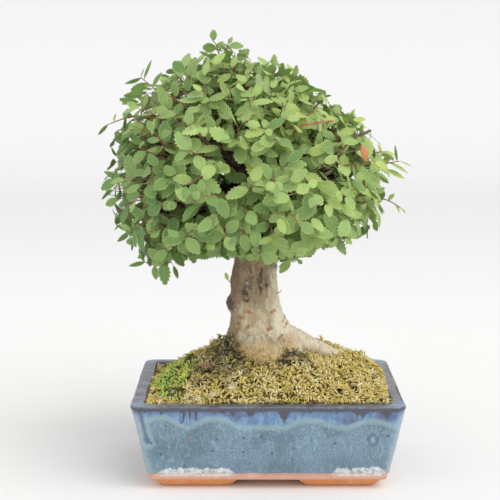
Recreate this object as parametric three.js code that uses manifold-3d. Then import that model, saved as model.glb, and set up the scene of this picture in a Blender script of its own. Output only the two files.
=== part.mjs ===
// A Chinese elm bonsai in its glazed rectangular pot.
// Millimetres, +Z up, X to the right and Y to the back of the pot's long front face.
// The plant is laid out about the centre of the pot's base, and moved at the end so that the origin is
// the middle of the underside of the whole plant's box.
import * as THREE from 'three';
import { mergeVertices } from 'three/addons/utils/BufferGeometryUtils.js';
import Module from 'manifold-3d';

const wasm = await Module();
wasm.setup();

// Clearance left between pieces that touch
const GAP = 0.3;

// Pot: rim size, wall and foot
const POT_HALF_X = 90.5;
const POT_HALF_Y = 67.5;
const POT_HEIGHT = 60;
const POT_CORNER = 8;
const CORNER_STEPS = 3;
const POT_TAPER = 11.6;
const RIM_WIDTH = 9;
const RIM_ROUND = 1.3;
const LIP_HEIGHT = 3.5;
const LIP_STEP = 0.7;
const FOOT_HEIGHT = 7;
const FOOT_SPLAY = 6;
const FOOT_WIDTH = 11;
const FLOOR_TOP = 13;
const FRONT_GAP_TOP = 20.4;
const FRONT_GAP_BOTTOM = 26.2;
const SIDE_GAP_TOP = 13;
const SIDE_GAP_BOTTOM = 18;
const DRAIN_RADIUS = 8;
const DRAIN_X = 42;

// Plastic mesh squares over the drain holes
const SCREEN_SIZE = 25;
const SCREEN_THICK = 0.8;
const SCREEN_OPENINGS = 2;
const SCREEN_BAR = 1.6;

// Soil mound and the moss that covers it: the mound's size, its ridges as place, width and height, how
// far soil and moss fall away at the pot's wall, and the moss's clumps
const MOUND_HALF_X = 88;
const MOUND_HALF_Y = 64;
const MOUND_RISE = 22;
const MOUND_EDGE = 62;
const LEFT_RIDGE = { x: -36, y: 8, wideX: 12, wideY: 14, rise: 7 };
const RIGHT_CUSHION = { x: 66, y: -2, wideX: 16, wideY: 30, rise: 5 };
const SOIL_FALL = 7;
const MOSS_THICK = 4.5;
const MOSS_FALL = 5;
const CLUMP_RISE = 1.7;
const GREEN_PATCH = { x: -64, y: -14, halfX: 13, halfY: 38 };

// Outline of what fills the pot: points round it, squareness, inset from the rim's edge, and the shares
// of its size at which the tops of soil and moss have rings of points
const FILL_SIDES = 26;
const FILL_POWER = 20;
const FILL_INSET = RIM_WIDTH + 1.6;
const SOIL_SHARES = [1, 0.8, 0.55, 0.15];
const MOSS_SHARES = [1, 0.93, 0.8, 0.66, 0.52, 0.38, 0.15];

// Trunk sections: height, centre x, half width
const TRUNK_SECTIONS = [
  [46, -5, 11],
  [60, -5, 20],
  [74, -4.6, 27],
  [84, -4.5, 27],
  [94.5, -5.3, 23.3],
  [104, -6.3, 19.6],
  [118, -9.1, 17.4],
  [132, -9, 15.8],
  [145, -7.8, 14.6],
  [156, -8, 13.4],
  [166, -8.5, 10],
];
const TRUNK_SIDES = 15;

// Crown: centre and reach of the leaf tips from it, by elevation, to the left and to the right
const CROWN_CENTRE = new THREE.Vector3(-11, 0, 200);
const CROWN_DEPTH = 0.95;
const CROWN_REACH = [
  [-90, 62, 62],
  [-60, 67, 66],
  [-45, 88, 74],
  [-35, 95, 85],
  [-22, 102, 97],
  [-8, 106, 101],
  [5, 105, 104],
  [20, 106, 94],
  [35, 106, 87],
  [50, 104, 83],
  [65, 102, 83],
  [78, 104, 87],
  [90, 95, 95],
];
const SPRAYS = 34;
const LOWEST_SPRAY = -0.8;
const BUTT_SHARE = 0.5;
const CORE_SHARE = 0.76;
const CORE_HALF_WIDTH = 22;
const CORE_HALF_DEPTH = 10;
const TWIG_RADIUS = 1.4;

// Limbs inside the crown, the share of its reach that is left to the wood, and how far leaves stay from
// the trunk's axis below the crown's centre
const LIMBS = 6;
const LIMB_START = new THREE.Vector3(-8.5, 0, 150);
const LIMB_HUB = new THREE.Vector3(-11, 0, 192);
const LIMB_REACH = 27;
const WOOD_SHARE = 0.48;
const TRUNK_CLEAR = 19;

// Leaves: length range, width as a share of length, depth of the rib under the blade, points down a
// blade's toothed side and along its rib as shares of length and half width, and how a spray bears them:
// in whorls by the angles from straight out at which leaves start and run, each with at least a stated
// volume sunk in what it grows from, and some on the leading twig's end
const LEAF_SHORT = 15;
const LEAF_LONG = 19;
const LEAF_ASPECT = 0.6;
const LEAF_RIB = 1.5;
const LEAF_SIDE = [[0.32, 1], [0.4, 0.8], [0.62, 0.85], [0.7, 0.58]];
const LEAF_KEEL = [0.32, 0.7];
const WHORLS = [
  { count: 3, from: 0.15, to: 0.6, rise: 1.15 },
  { count: 5, from: 0.9, to: 1.5, rise: 1.15 },
];
const LEAF_SUNK = 1;
const LEAVES_ON_TIP = 3;

// Colours
const GLAZE_BLUE = 0x7b8fa2;
const SOIL_BROWN = 0x4a3b2c;
const SCREEN_BLACK = 0x26282a;
const MOSS_OLIVE = 0xa89a5a;
const MOSS_GREEN = 0x83913f;
const BARK_BEIGE = 0xaf9f86;
const LEAF_GREEN = 0x6f9148;
const STONE_WHITE = 0xd9d4c8;
const STONE_BROWN = 0x8a6a4c;

// Seeded random numbers from 0 to 1
let seed = 20;
function random() {
  seed = (Math.imul(seed, 1664525) + 1013904223) >>> 0;
  return seed / 4294967296;
}

function between(low, high) {
  return low + (high - low) * random();
}

// Value between rows of a table whose first column rises
function lookUp(rows, key, column) {
  const last = rows.length - 1;
  if (key <= rows[0][0]) {
    return rows[0][column];
  }
  for (let i = 0; i < last; i += 1) {
    if (key <= rows[i + 1][0]) {
      const share = (key - rows[i][0]) / (rows[i + 1][0] - rows[i][0]);
      return THREE.MathUtils.lerp(rows[i][column], rows[i + 1][column], share);
    }
  }
  return rows[last][column];
}

// Closed body through rings of equally many points, each ring anticlockwise about the way they run,
// with a flat cap on the first and the last ring
function loft(rings) {
  const sides = rings[0].length;
  const points = rings.flat();
  const index = [];
  for (let row = 0; row < rings.length - 1; row += 1) {
    for (let i = 0; i < sides; i += 1) {
      const a = row * sides + i;
      const b = row * sides + (i + 1) % sides;
      index.push(a, b, b + sides, a, b + sides, a + sides);
    }
  }
  const last = (rings.length - 1) * sides;
  for (let i = 1; i < sides - 1; i += 1) {
    index.push(0, i + 1, i, last, last + i, last + i + 1);
  }
  const geometry = new THREE.BufferGeometry().setFromPoints(points);
  geometry.setIndex(index);
  return geometry;
}

// Solid of a closed geometry
function solid(source) {
  const geometry = source.clone();
  geometry.deleteAttribute('normal');
  geometry.deleteAttribute('uv');
  const merged = mergeVertices(geometry, 1e-4);
  return new wasm.Manifold(new wasm.Mesh({
    numProp: 3,
    vertProperties: new Float32Array(merged.attributes.position.array),
    triVerts: new Uint32Array(merged.index.array),
  }));
}

function joined(solids) {
  return solids.reduce((total, next) => total.add(next));
}

// Round tube along a curve; radiusAt takes the share of the way along it
function tube(curve, steps, sides, radiusAt) {
  const frames = curve.computeFrenetFrames(steps, false);
  const rings = [];
  for (let step = 0; step <= steps; step += 1) {
    const share = step / steps;
    const centre = curve.getPointAt(share);
    const radius = radiusAt(share);
    const ring = [];
    for (let side = 0; side < sides; side += 1) {
      const angle = side * 2 * Math.PI / sides;
      ring.push(centre.clone()
        .addScaledVector(frames.normals[step], radius * Math.cos(angle))
        .addScaledVector(frames.binormals[step], radius * Math.sin(angle)));
    }
    rings.push(ring);
  }
  return solid(loft(rings));
}

function curveThrough(points) {
  return new THREE.CatmullRomCurve3(points.map((point) => new THREE.Vector3(...point)));
}

// Rectangle with round corners at one height
function roundedRing(halfX, halfY, corner, z) {
  const ring = [];
  for (let quarter = 0; quarter < 4; quarter += 1) {
    const signX = quarter === 0 || quarter === 3 ? 1 : -1;
    const signY = quarter < 2 ? 1 : -1;
    for (let step = 0; step <= CORNER_STEPS; step += 1) {
      const angle = (quarter + step / CORNER_STEPS) * Math.PI / 2;
      const x = signX * (halfX - corner) + corner * Math.cos(angle);
      const y = signY * (halfY - corner) + corner * Math.sin(angle);
      ring.push(new THREE.Vector3(x, y, z));
    }
  }
  return ring;
}

// Pot outline set in from the rim; the corner's radius shrinks with it
function potRing(inset, z) {
  const corner = Math.max(3, POT_CORNER - inset / 2);
  return roundedRing(POT_HALF_X - inset, POT_HALF_Y - inset, corner, z);
}

// Inset of the pot's inner wall face at a height
function innerInset(z) {
  return RIM_WIDTH + (POT_TAPER - 1) * (POT_HEIGHT - z) / (POT_HEIGHT - FLOOR_TOP);
}

// Opening between two feet, drawn across and pushed through along Y
function footOpening(halfTop, halfBottom, length) {
  const shape = new THREE.Shape();
  shape.moveTo(-halfBottom, -1);
  shape.lineTo(halfBottom, -1);
  shape.lineTo(halfBottom, 0);
  shape.bezierCurveTo(halfTop + 2, 0.5, halfBottom - 2, FOOT_HEIGHT - 0.5, halfTop, FOOT_HEIGHT);
  shape.lineTo(-halfTop, FOOT_HEIGHT);
  shape.bezierCurveTo(-halfBottom + 2, FOOT_HEIGHT - 0.5, -halfTop - 2, 0.5, -halfBottom, 0);
  const geometry = new THREE.ExtrudeGeometry(shape, { depth: length, bevelEnabled: false, curveSegments: 4 });
  geometry.translate(0, 0, -length / 2);
  geometry.rotateX(Math.PI / 2);
  return geometry;
}

// Glazed pot: a tapered tray with a lip, on four corner feet, with two drain holes in its floor
function makePot() {
  const tray = solid(loft([
    potRing(POT_TAPER, FOOT_HEIGHT),
    potRing(POT_TAPER - 1.2, FOOT_HEIGHT + 3.5),
    potRing(LIP_STEP, POT_HEIGHT - LIP_HEIGHT),
    potRing(0, POT_HEIGHT - LIP_HEIGHT + LIP_STEP),
    potRing(0, POT_HEIGHT - RIM_ROUND),
    potRing(RIM_ROUND, POT_HEIGHT),
    potRing(RIM_WIDTH - RIM_ROUND, POT_HEIGHT),
    potRing(RIM_WIDTH, POT_HEIGHT - RIM_ROUND),
    potRing(innerInset(FLOOR_TOP), FLOOR_TOP),
  ]));
  const footTop = POT_TAPER + 2;
  const footBottom = footTop + FOOT_SPLAY;
  const footBlock = solid(loft([
    potRing(footBottom, 0),
    potRing(footBottom - 1.5, 2),
    potRing(footTop, FOOT_HEIGHT + 0.5),
  ]));
  const footHollow = solid(loft([
    potRing(footBottom + FOOT_WIDTH, -1),
    potRing(footBottom + FOOT_WIDTH, FOOT_HEIGHT),
  ]));
  const frontOpening = solid(footOpening(FRONT_GAP_TOP, FRONT_GAP_BOTTOM, 2 * POT_HALF_Y));
  const sideShape = footOpening(SIDE_GAP_TOP, SIDE_GAP_BOTTOM, 2 * POT_HALF_X);
  const sideOpening = solid(sideShape.rotateZ(Math.PI / 2));
  let pot = tray.add(footBlock.subtract(footHollow).subtract(frontOpening).subtract(sideOpening));
  for (const x of [-DRAIN_X, DRAIN_X]) {
    const hole = new THREE.CylinderGeometry(DRAIN_RADIUS, DRAIN_RADIUS, 2 * FLOOR_TOP, 14);
    pot = pot.subtract(solid(hole.rotateX(Math.PI / 2).translate(x, 0, FLOOR_TOP)));
  }
  return pot;
}

// Square of plastic mesh with rows of square openings
function makeScreen(x) {
  const half = SCREEN_SIZE / 2;
  const middle = FLOOR_TOP + GAP + SCREEN_THICK / 2;
  const pitch = (SCREEN_SIZE - SCREEN_BAR) / SCREEN_OPENINGS;
  const size = pitch - SCREEN_BAR;
  const openings = [];
  for (let column = 0; column < SCREEN_OPENINGS; column += 1) {
    for (let row = 0; row < SCREEN_OPENINGS; row += 1) {
      const left = x - half + SCREEN_BAR + size / 2 + column * pitch;
      const low = -half + SCREEN_BAR + size / 2 + row * pitch;
      const opening = new THREE.BoxGeometry(size, size, 2 * SCREEN_THICK);
      openings.push(solid(opening.translate(left, low, middle)));
    }
  }
  const plate = new THREE.BoxGeometry(SCREEN_SIZE, SCREEN_SIZE, SCREEN_THICK);
  return solid(plate.translate(x, 0, middle)).subtract(joined(openings));
}

function ridgeHeight(ridge, x, y) {
  return ridge.rise * Math.exp(-(((x - ridge.x) / ridge.wideX) ** 2) - ((y - ridge.y) / ridge.wideY) ** 2);
}

// Height of the moss's mean surface: a mound round the trunk, higher left of it and at the right end
function moundHeight(x, y) {
  const reach = Math.max(0, 1 - (x / MOUND_HALF_X) ** 2 - (y / MOUND_HALF_Y) ** 2);
  const ridges = ridgeHeight(LEFT_RIDGE, x, y) + ridgeHeight(RIGHT_CUSHION, x, y);
  return MOUND_EDGE + MOUND_RISE * reach ** 0.8 + ridges;
}

// How near a place is to the pot's wall, 1 at the wall
function wallShare(x, y) {
  return Math.max(Math.abs(x) / (POT_HALF_X - RIM_WIDTH), Math.abs(y) / (POT_HALF_Y - RIM_WIDTH));
}

function soilTop(x, y) {
  return moundHeight(x, y) - MOSS_THICK - SOIL_FALL * wallShare(x, y) ** 3;
}

// Moss's own surface: clumps as a low waved relief, rolled over at the wall
function mossTop(x, y) {
  const across = Math.sin(0.33 * x + 1.4 * Math.sin(0.17 * y));
  const along = Math.sin(0.37 * y + 1.2 * Math.sin(0.21 * x) + 0.8);
  return moundHeight(x, y) + CLUMP_RISE * across * along - MOSS_FALL * wallShare(x, y) ** 14;
}

// Outline of what fills the pot, scaled to a share of its size, at heights given by a formula
function fillRing(inset, share, heightAt) {
  return Array.from({ length: FILL_SIDES }, (_, side) => {
    const angle = side * 2 * Math.PI / FILL_SIDES;
    const across = Math.cos(angle);
    const along = Math.sin(angle);
    const stretch = share / (Math.abs(across) ** FILL_POWER + Math.abs(along) ** FILL_POWER) ** (1 / FILL_POWER);
    const x = (POT_HALF_X - inset - GAP) * across * stretch;
    const y = (POT_HALF_Y - inset - GAP) * along * stretch;
    return new THREE.Vector3(x, y, heightAt(x, y));
  });
}

// Soil from the pot's floor up to its mound
function makeSoil() {
  const floor = FLOOR_TOP + GAP;
  const top = SOIL_SHARES.map((share) => fillRing(FILL_INSET, share, soilTop));
  return solid(loft([fillRing(innerInset(floor), 1, () => floor), ...top]));
}

// Moss from GAP above the soil up to its own relief
function makeMoss() {
  const top = MOSS_SHARES.map((share) => fillRing(FILL_INSET, share, mossTop));
  const block = solid(loft([fillRing(FILL_INSET, 1, () => FLOOR_TOP), ...top]));
  const raised = (x, y) => soilTop(x, y) + GAP;
  const below = [1.1, ...SOIL_SHARES].map((share) => fillRing(FILL_INSET, share, raised));
  return block.subtract(solid(loft([fillRing(FILL_INSET, 1.1, () => 0), ...below])));
}

// Trunk with its burl and its flare into lobes at the roots; grow makes the hole it stands in
function makeTrunkStem(grow) {
  const rings = TRUNK_SECTIONS.map(([z, centreX, half]) => {
    const flare = THREE.MathUtils.smoothstep(112 - z, 0, 30);
    const ring = [];
    for (let side = 0; side < TRUNK_SIDES; side += 1) {
      const angle = side * 2 * Math.PI / TRUNK_SIDES;
      const lobes = 1 + 0.09 * flare * Math.cos(5 * angle + 0.5) + 0.02 * Math.cos(3 * angle + z / 9);
      const burl = 2.5 * Math.exp(-(((angle - Math.PI) / 0.5) ** 2) - ((z - 116) / 7) ** 2);
      const radius = half * lobes + burl + grow;
      ring.push(new THREE.Vector3(centreX + radius * Math.cos(angle), 0.95 * radius * Math.sin(angle), z));
    }
    return ring;
  });
  rings[0].forEach((point) => point.setZ(point.z - grow));
  return solid(loft(rings));
}

// Surface roots: path points, then radius at the trunk and at the buried end
const ROOTS = [
  { path: [[4, 2, 90], [22, 3, 90.5], [36, 5, 85.5], [50, 7, 77.5], [62, 9, 68]], from: 8.5, to: 3.5 },
  { path: [[-14, 4, 86], [-30, 8, 82], [-42, 10, 75], [-52, 11, 66]], from: 7, to: 3 },
  { path: [[-8, 8, 86], [-16, 26, 82], [-22, 40, 73], [-26, 50, 63]], from: 8, to: 3 },
  { path: [[0, 8, 86], [12, 24, 82], [22, 36, 74], [32, 46, 64]], from: 8, to: 3 },
];

function makeRoots(grow) {
  return joined(ROOTS.map(({ path, from, to }) => tube(
    curveThrough(path), 3, 6, (share) => THREE.MathUtils.lerp(from, to, share) + grow)));
}

// How far leaf tips reach from the crown's centre in a direction
function crownReach(direction) {
  const level = Math.hypot(direction.x, direction.y);
  const elevation = THREE.MathUtils.radToDeg(Math.atan2(direction.z, level));
  const leftShare = level > 1e-6 ? 0.5 - 0.5 * direction.x / level : 0.5;
  const depthShare = level > 1e-6 ? (direction.y / level) ** 2 : 0;
  const left = lookUp(CROWN_REACH, elevation, 1);
  const right = lookUp(CROWN_REACH, elevation, 2);
  return THREE.MathUtils.lerp(right, left, leftShare) * THREE.MathUtils.lerp(1, CROWN_DEPTH, depthShare);
}

function crownPoint(direction, share) {
  return CROWN_CENTRE.clone().addScaledVector(direction, share * crownReach(direction));
}

// Evenly spread directions from straight up, starting to the left, down to a lowest height, a golden
// angle apart
const GOLDEN = Math.PI * (3 - Math.sqrt(5));
function spread(count, lowest) {
  return Array.from({ length: count }, (_, i) => {
    const z = 1 - (1 - lowest) * (i + 0.5) / count;
    const level = Math.sqrt(1 - z * z);
    return new THREE.Vector3(-level * Math.cos(i * GOLDEN), -level * Math.sin(i * GOLDEN), z);
  });
}

const SPRAY_DIRECTIONS = spread(SPRAYS, LOWEST_SPRAY);
const SITES = SPRAY_DIRECTIONS.map((direction) => crownPoint(direction, CORE_SHARE));

// Limbs rise from the trunk's head to knobs where they were pruned, and a branchlet runs from the
// nearest knob to each spray
function makeLimbs() {
  const ends = spread(LIMBS, -0.35).map((way) => LIMB_HUB.clone().addScaledVector(way, LIMB_REACH));
  const limbs = ends.map((end) => {
    const bend = new THREE.Vector3((end.x + LIMB_START.x) / 2, end.y / 2, (2 * LIMB_START.z + end.z) / 3);
    bend.lerp(new THREE.Vector3(LIMB_START.x, 0, bend.z), 0.55);
    const curve = new THREE.QuadraticBezierCurve3(LIMB_START, bend, end);
    return tube(curve, 3, 6, (share) => THREE.MathUtils.lerp(6, 3.2, share) + 1.8 * share ** 6);
  });
  const branchlets = SPRAY_DIRECTIONS.map((direction) => {
    const butt = crownPoint(direction, BUTT_SHARE);
    const knob = ends.reduce((best, end) => (end.distanceTo(butt) < best.distanceTo(butt) ? end : best));
    const start = knob.clone().lerp(LIMB_HUB, 0.12);
    const tilt = butt.clone().sub(start).angleTo(direction);
    butt.addScaledVector(direction, -GAP - TWIG_RADIUS * Math.sin(tilt));
    return tube(new THREE.LineCurve3(start, butt), 1, 3, () => TWIG_RADIUS);
  });
  return joined([...limbs, ...branchlets]);
}

// Room that a spray has at a point: to its neighbours, the wood inside, the trunk and the crown's reach
function room(point, own) {
  let least = Infinity;
  for (let other = 0; other < SPRAYS; other += 1) {
    if (other !== own) {
      const apart = SITES[own].distanceTo(SITES[other]);
      const near = point.distanceToSquared(SITES[own]);
      const far = point.distanceToSquared(SITES[other]);
      least = Math.min(least, (far - near) / (2 * apart) - GAP / 2);
    }
  }
  const outward = point.clone().sub(CROWN_CENTRE);
  const distance = outward.length();
  const reach = crownReach(outward.divideScalar(distance));
  least = Math.min(least, distance - WOOD_SHARE * reach - 1.5, reach - distance + 0.5);
  if (point.z < CROWN_CENTRE.z) {
    least = Math.min(least, Math.hypot(point.x - LIMB_START.x, point.y) - TRUNK_CLEAR);
  }
  return least;
}

// One leaf: saw-toothed blade, flat on top, with the rib as a keel below it
function leafGeometry(root, along, facing, length) {
  const across = new THREE.Vector3().crossVectors(facing, along).normalize();
  const upward = new THREE.Vector3().crossVectors(along, across);
  const place = (x, y, z) => root.clone()
    .addScaledVector(along, x * length)
    .addScaledVector(across, y * length * LEAF_ASPECT / 2)
    .addScaledVector(upward, z);
  const left = LEAF_SIDE.map(([x, y]) => place(x, y, 0));
  const right = LEAF_SIDE.map(([x, y]) => place(x, -y, 0));
  const keel = LEAF_KEEL.map((x) => place(x, 0, -LEAF_RIB));
  const count = LEAF_SIDE.length;
  const points = [place(0, 0, 0), ...left, place(1, 0, 0), ...right, ...keel];
  const tip = count + 1;
  const leftAt = (i) => (i < 0 ? 0 : i === count ? tip : 1 + i);
  const rightAt = (i) => (i < 0 ? 0 : i === count ? tip : tip + 1 + i);
  const back = 2 * count + 2;
  const index = [];
  for (let i = 0; i <= count; i += 1) {
    const from = i - 1;
    if (i > 0) {
      index.push(rightAt(from), leftAt(i), leftAt(from));
    }
    if (i < count) {
      index.push(rightAt(from), rightAt(i), leftAt(i));
    }
    const keelPoint = i < 2 ? back : back + 1;
    index.push(leftAt(from), leftAt(i), keelPoint, rightAt(i), rightAt(from), keelPoint);
  }
  index.push(back, leftAt(1), back + 1, back, back + 1, rightAt(1));
  const geometry = new THREE.BufferGeometry().setFromPoints(points);
  geometry.setIndex(index);
  return geometry;
}

// Leafy spray: a butt of twig from the branch, a small dense core, leaves standing out all round it
// and a leading twig with leaves out to the crown's edge
function makeSpray(own) {
  const direction = SPRAY_DIRECTIONS[own];
  const site = SITES[own];
  const helper = Math.abs(direction.z) < 0.9 ? new THREE.Vector3(0, 0, 1) : new THREE.Vector3(1, 0, 0);
  const sideways = new THREE.Vector3().crossVectors(helper, direction).normalize();
  const upways = new THREE.Vector3().crossVectors(direction, sideways);
  const turned = (polar, around) => new THREE.Vector3()
    .addScaledVector(direction, Math.cos(polar))
    .addScaledVector(sideways, Math.sin(polar) * Math.cos(around))
    .addScaledVector(upways, Math.sin(polar) * Math.sin(around));

  // Core reaches as far as there is room, up to a flattened ball
  const coreReach = (way) => {
    let reach = THREE.MathUtils.lerp(CORE_HALF_WIDTH, CORE_HALF_DEPTH, Math.abs(way.dot(direction)));
    while (reach > 3 && room(site.clone().addScaledVector(way, reach), own) < 1.6) {
      reach *= 0.94;
    }
    return reach;
  };
  const ball = mergeVertices(new THREE.IcosahedronGeometry(1, 0).deleteAttribute('normal').deleteAttribute('uv'));
  const corners = ball.attributes.position;
  for (let i = 0; i < corners.count; i += 1) {
    const way = new THREE.Vector3().fromBufferAttribute(corners, i).normalize();
    const corner = site.clone().addScaledVector(way, coreReach(way) * between(0.85, 1));
    corners.setXYZ(i, corner.x, corner.y, corner.z);
  }
  const butt = crownPoint(direction, BUTT_SHARE);
  let wood = solid(ball).add(tube(new THREE.LineCurve3(butt, site), 1, 3, () => TWIG_RADIUS));

  // A leaf is kept where its root is sunk, it has room all over and it crosses no leaf set before it
  const leaves = [];
  const tryLeaf = (root, along, facing, length) => {
    const geometry = leafGeometry(root, along.normalize(), facing, length);
    const position = geometry.attributes.position;
    for (let i = 0; i < position.count; i += 1) {
      if (room(new THREE.Vector3().fromBufferAttribute(position, i), own) < 0) {
        return false;
      }
    }
    const leaf = solid(geometry);
    const sunk = leaf.intersect(wood).volume();
    if (sunk < LEAF_SUNK || leaves.some((other) => other.intersect(leaf).volume() > 0)) {
      return false;
    }
    leaves.push(leaf);
    return true;
  };

  // Leading twig, with one leaf from its tip out to the crown's edge and one on each side
  const before = wood;
  for (let attempt = 0; attempt < 60 && leaves.length === 0; attempt += 1) {
    const lead = turned(between(0, 0.6), between(0, 2 * Math.PI));
    const length = between(LEAF_SHORT, LEAF_LONG - 2);
    const end = site.clone().addScaledVector(lead, (1 - CORE_SHARE) * crownReach(direction) - 0.93 * length);
    const facing = turned(between(0.8, 1.4), between(0, 2 * Math.PI));
    const taper = (share) => TWIG_RADIUS * (1 - 0.35 * share);
    wood = before.add(tube(new THREE.LineCurve3(site, end), 1, 3, taper));
    const root = end.clone().addScaledVector(lead, -1.5);
    if (tryLeaf(root, lead.clone(), facing, length)) {
      const aside = new THREE.Vector3().crossVectors(facing, lead).normalize();
      for (let k = 1; k < LEAVES_ON_TIP; k += 1) {
        const joint = site.clone().lerp(end, 0.9 - 0.2 * k).addScaledVector(aside, k % 2 ? -0.8 : 0.8);
        for (let again = 0; again < 12 && leaves.length <= k; again += 1) {
          const along = lead.clone().multiplyScalar(between(0.3, 0.9)).addScaledVector(aside, k % 2 ? 1 : -1);
          tryLeaf(joint, along, facing, between(LEAF_SHORT, LEAF_LONG - 2));
        }
      }
    } else {
      wood = before;
    }
  }

  // Leaves over the core in whorls: a few across its face, the rest out from its flank
  let around = between(0, 2 * Math.PI);
  for (const { count, from, to, rise } of WHORLS) {
    for (let k = 0; k < count; k += 1) {
      const target = leaves.length + 1;
      around += GOLDEN;
      for (let attempt = 0; attempt < 120 && leaves.length < target; attempt += 1) {
        const aim = around + between(-0.6, 0.6);
        const way = turned(between(from, to), aim);
        const root = site.clone().addScaledVector(way, (0.76 - 0.001 * attempt) * coreReach(way));
        const along = turned(between(rise - 0.2, rise + 0.2), aim + between(-0.6, 0.6));
        const facing = direction.clone().addScaledVector(way, 0.4);
        tryLeaf(root, along, facing, between(LEAF_SHORT, LEAF_LONG));
      }
    }
  }
  return joined([wood, ...leaves]);
}

// Pebbles lying in the moss: place, half sizes and colour
const PEBBLES = [
  { x: -23.8, y: -51, half: [4, 2.8, 2.6], colour: STONE_WHITE },
  { x: -46.5, y: -54, half: [3, 2.4, 2], colour: STONE_WHITE },
  { x: -36.8, y: -53.5, half: [2.6, 2.2, 2], colour: STONE_WHITE },
  { x: -41.8, y: -27, half: [3.6, 3, 2.6], colour: STONE_BROWN },
];

function makePebble({ x, y, half }, grow) {
  const [halfX, halfY, halfZ] = half;
  const ball = new THREE.SphereGeometry(1, 6, 4).scale(halfX + grow, halfY + grow, halfZ + grow);
  return solid(ball.rotateZ(x).translate(x, y, moundHeight(x, y) + 0.3 * halfZ));
}

const plant = new THREE.Group();

function addPiece(name, piece, colour, roughness) {
  const { vertProperties, triVerts } = piece.getMesh();
  const geometry = new THREE.BufferGeometry();
  geometry.setAttribute('position', new THREE.BufferAttribute(vertProperties, 3));
  geometry.setIndex(new THREE.BufferAttribute(triVerts, 1));
  const mesh = new THREE.Mesh(geometry, new THREE.MeshStandardMaterial({ color: colour, roughness, metalness: 0 }));
  mesh.name = name;
  plant.add(mesh);
}

// Pot and mesh squares
addPiece('pot', makePot(), GLAZE_BLUE, 0.3);
addPiece('drain_screen_left', makeScreen(-DRAIN_X), SCREEN_BLACK, 0.7);
addPiece('drain_screen_right', makeScreen(DRAIN_X), SCREEN_BLACK, 0.7);

// Soil, with the hole that the root base stands in and flats over the mesh squares
const rootHole = makeTrunkStem(GAP).add(makeRoots(GAP));
const screenRoom = [-DRAIN_X, DRAIN_X].map((x) => {
  const side = SCREEN_SIZE + 2 * GAP;
  const flat = new THREE.BoxGeometry(side, side, 2 * (SCREEN_THICK + 2 * GAP));
  return solid(flat.translate(x, 0, FLOOR_TOP));
});
const pebbleRoom = joined(PEBBLES.map((pebble) => makePebble(pebble, GAP)));
const soil = makeSoil().subtract(rootHole).subtract(joined(screenRoom)).subtract(pebbleRoom);
addPiece('soil', soil, SOIL_BROWN, 1);

// Moss over the soil: an olive mat, and a bright green patch at the left
const moss = makeMoss().subtract(rootHole).subtract(pebbleRoom);
const patch = (grow) => {
  const shape = new THREE.Shape();
  const { x, y, halfX, halfY } = GREEN_PATCH;
  shape.absellipse(x, y, halfX + grow, halfY + grow, 0, 2 * Math.PI, false, 0);
  return solid(new THREE.ExtrudeGeometry(shape, { depth: 2 * POT_HEIGHT, bevelEnabled: false, curveSegments: 9 }));
};
addPiece('moss_mat', moss.subtract(patch(GAP)), MOSS_OLIVE, 1);
addPiece('moss_green', moss.intersect(patch(0)), MOSS_GREEN, 1);
PEBBLES.forEach((pebble, i) => addPiece(`pebble_${i + 1}`, makePebble(pebble, 0), pebble.colour, 0.8));

// Trunk with its roots, limbs and branchlets, grown as one
addPiece('trunk', joined([makeTrunkStem(0), makeRoots(0), makeLimbs()]), BARK_BEIGE, 0.85);

// Leafy sprays of the crown
SITES.forEach((_, i) => addPiece(`spray_${String(i + 1).padStart(2, '0')}`, makeSpray(i), LEAF_GREEN, 0.6));

// Origin at the middle of the underside of the whole plant
const bounds = new THREE.Box3().setFromObject(plant);
const middle = bounds.getCenter(new THREE.Vector3());
plant.position.set(-middle.x, -middle.y, -bounds.min.z);

export default plant;
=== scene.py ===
"""A Chinese elm bonsai in its glazed pot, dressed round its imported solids.

Lengths are in millimetres from the middle of the pot's base, Z up, X along the pot's long front and Y to its
back. They become metres in the frame's place once, when a mesh is made.
"""
import math

import bmesh
import bpy
import numpy as np
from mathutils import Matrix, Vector


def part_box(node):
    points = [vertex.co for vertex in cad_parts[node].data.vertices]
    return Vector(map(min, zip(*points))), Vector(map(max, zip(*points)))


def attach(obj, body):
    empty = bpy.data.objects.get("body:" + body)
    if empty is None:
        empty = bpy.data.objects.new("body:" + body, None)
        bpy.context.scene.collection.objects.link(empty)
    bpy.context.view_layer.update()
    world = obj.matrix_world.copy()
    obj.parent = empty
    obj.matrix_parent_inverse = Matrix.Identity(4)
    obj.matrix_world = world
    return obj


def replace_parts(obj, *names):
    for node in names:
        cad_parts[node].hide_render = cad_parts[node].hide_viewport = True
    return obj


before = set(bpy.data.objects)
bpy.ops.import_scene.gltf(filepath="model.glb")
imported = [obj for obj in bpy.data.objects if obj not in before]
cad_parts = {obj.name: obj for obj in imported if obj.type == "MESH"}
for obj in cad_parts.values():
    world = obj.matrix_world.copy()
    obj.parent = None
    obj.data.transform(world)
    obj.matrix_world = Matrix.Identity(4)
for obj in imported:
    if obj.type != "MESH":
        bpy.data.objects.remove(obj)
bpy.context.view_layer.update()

# Camera: a long lens in front of the plant and nearly as high as its top, level across and tipped slightly
# down, so that the moss in the pot and the floor behind it show.
MM = 0.001
pot_low, pot_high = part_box("pot")
POT_MIDDLE = np.array([(pot_low.x + pot_high.x) / 2, (pot_low.y + pot_high.y) / 2, pot_low.z])
CAMERA_PLACE = (-11.9, -900.0, 289.0)
CAMERA_PITCH = 8.59
CAMERA_LENS = 94.9


def in_frame(points):
    """Points in millimetres from the middle of the pot's base, as metres in the frame."""
    return np.asarray(points, float) * MM + POT_MIDDLE


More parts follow.
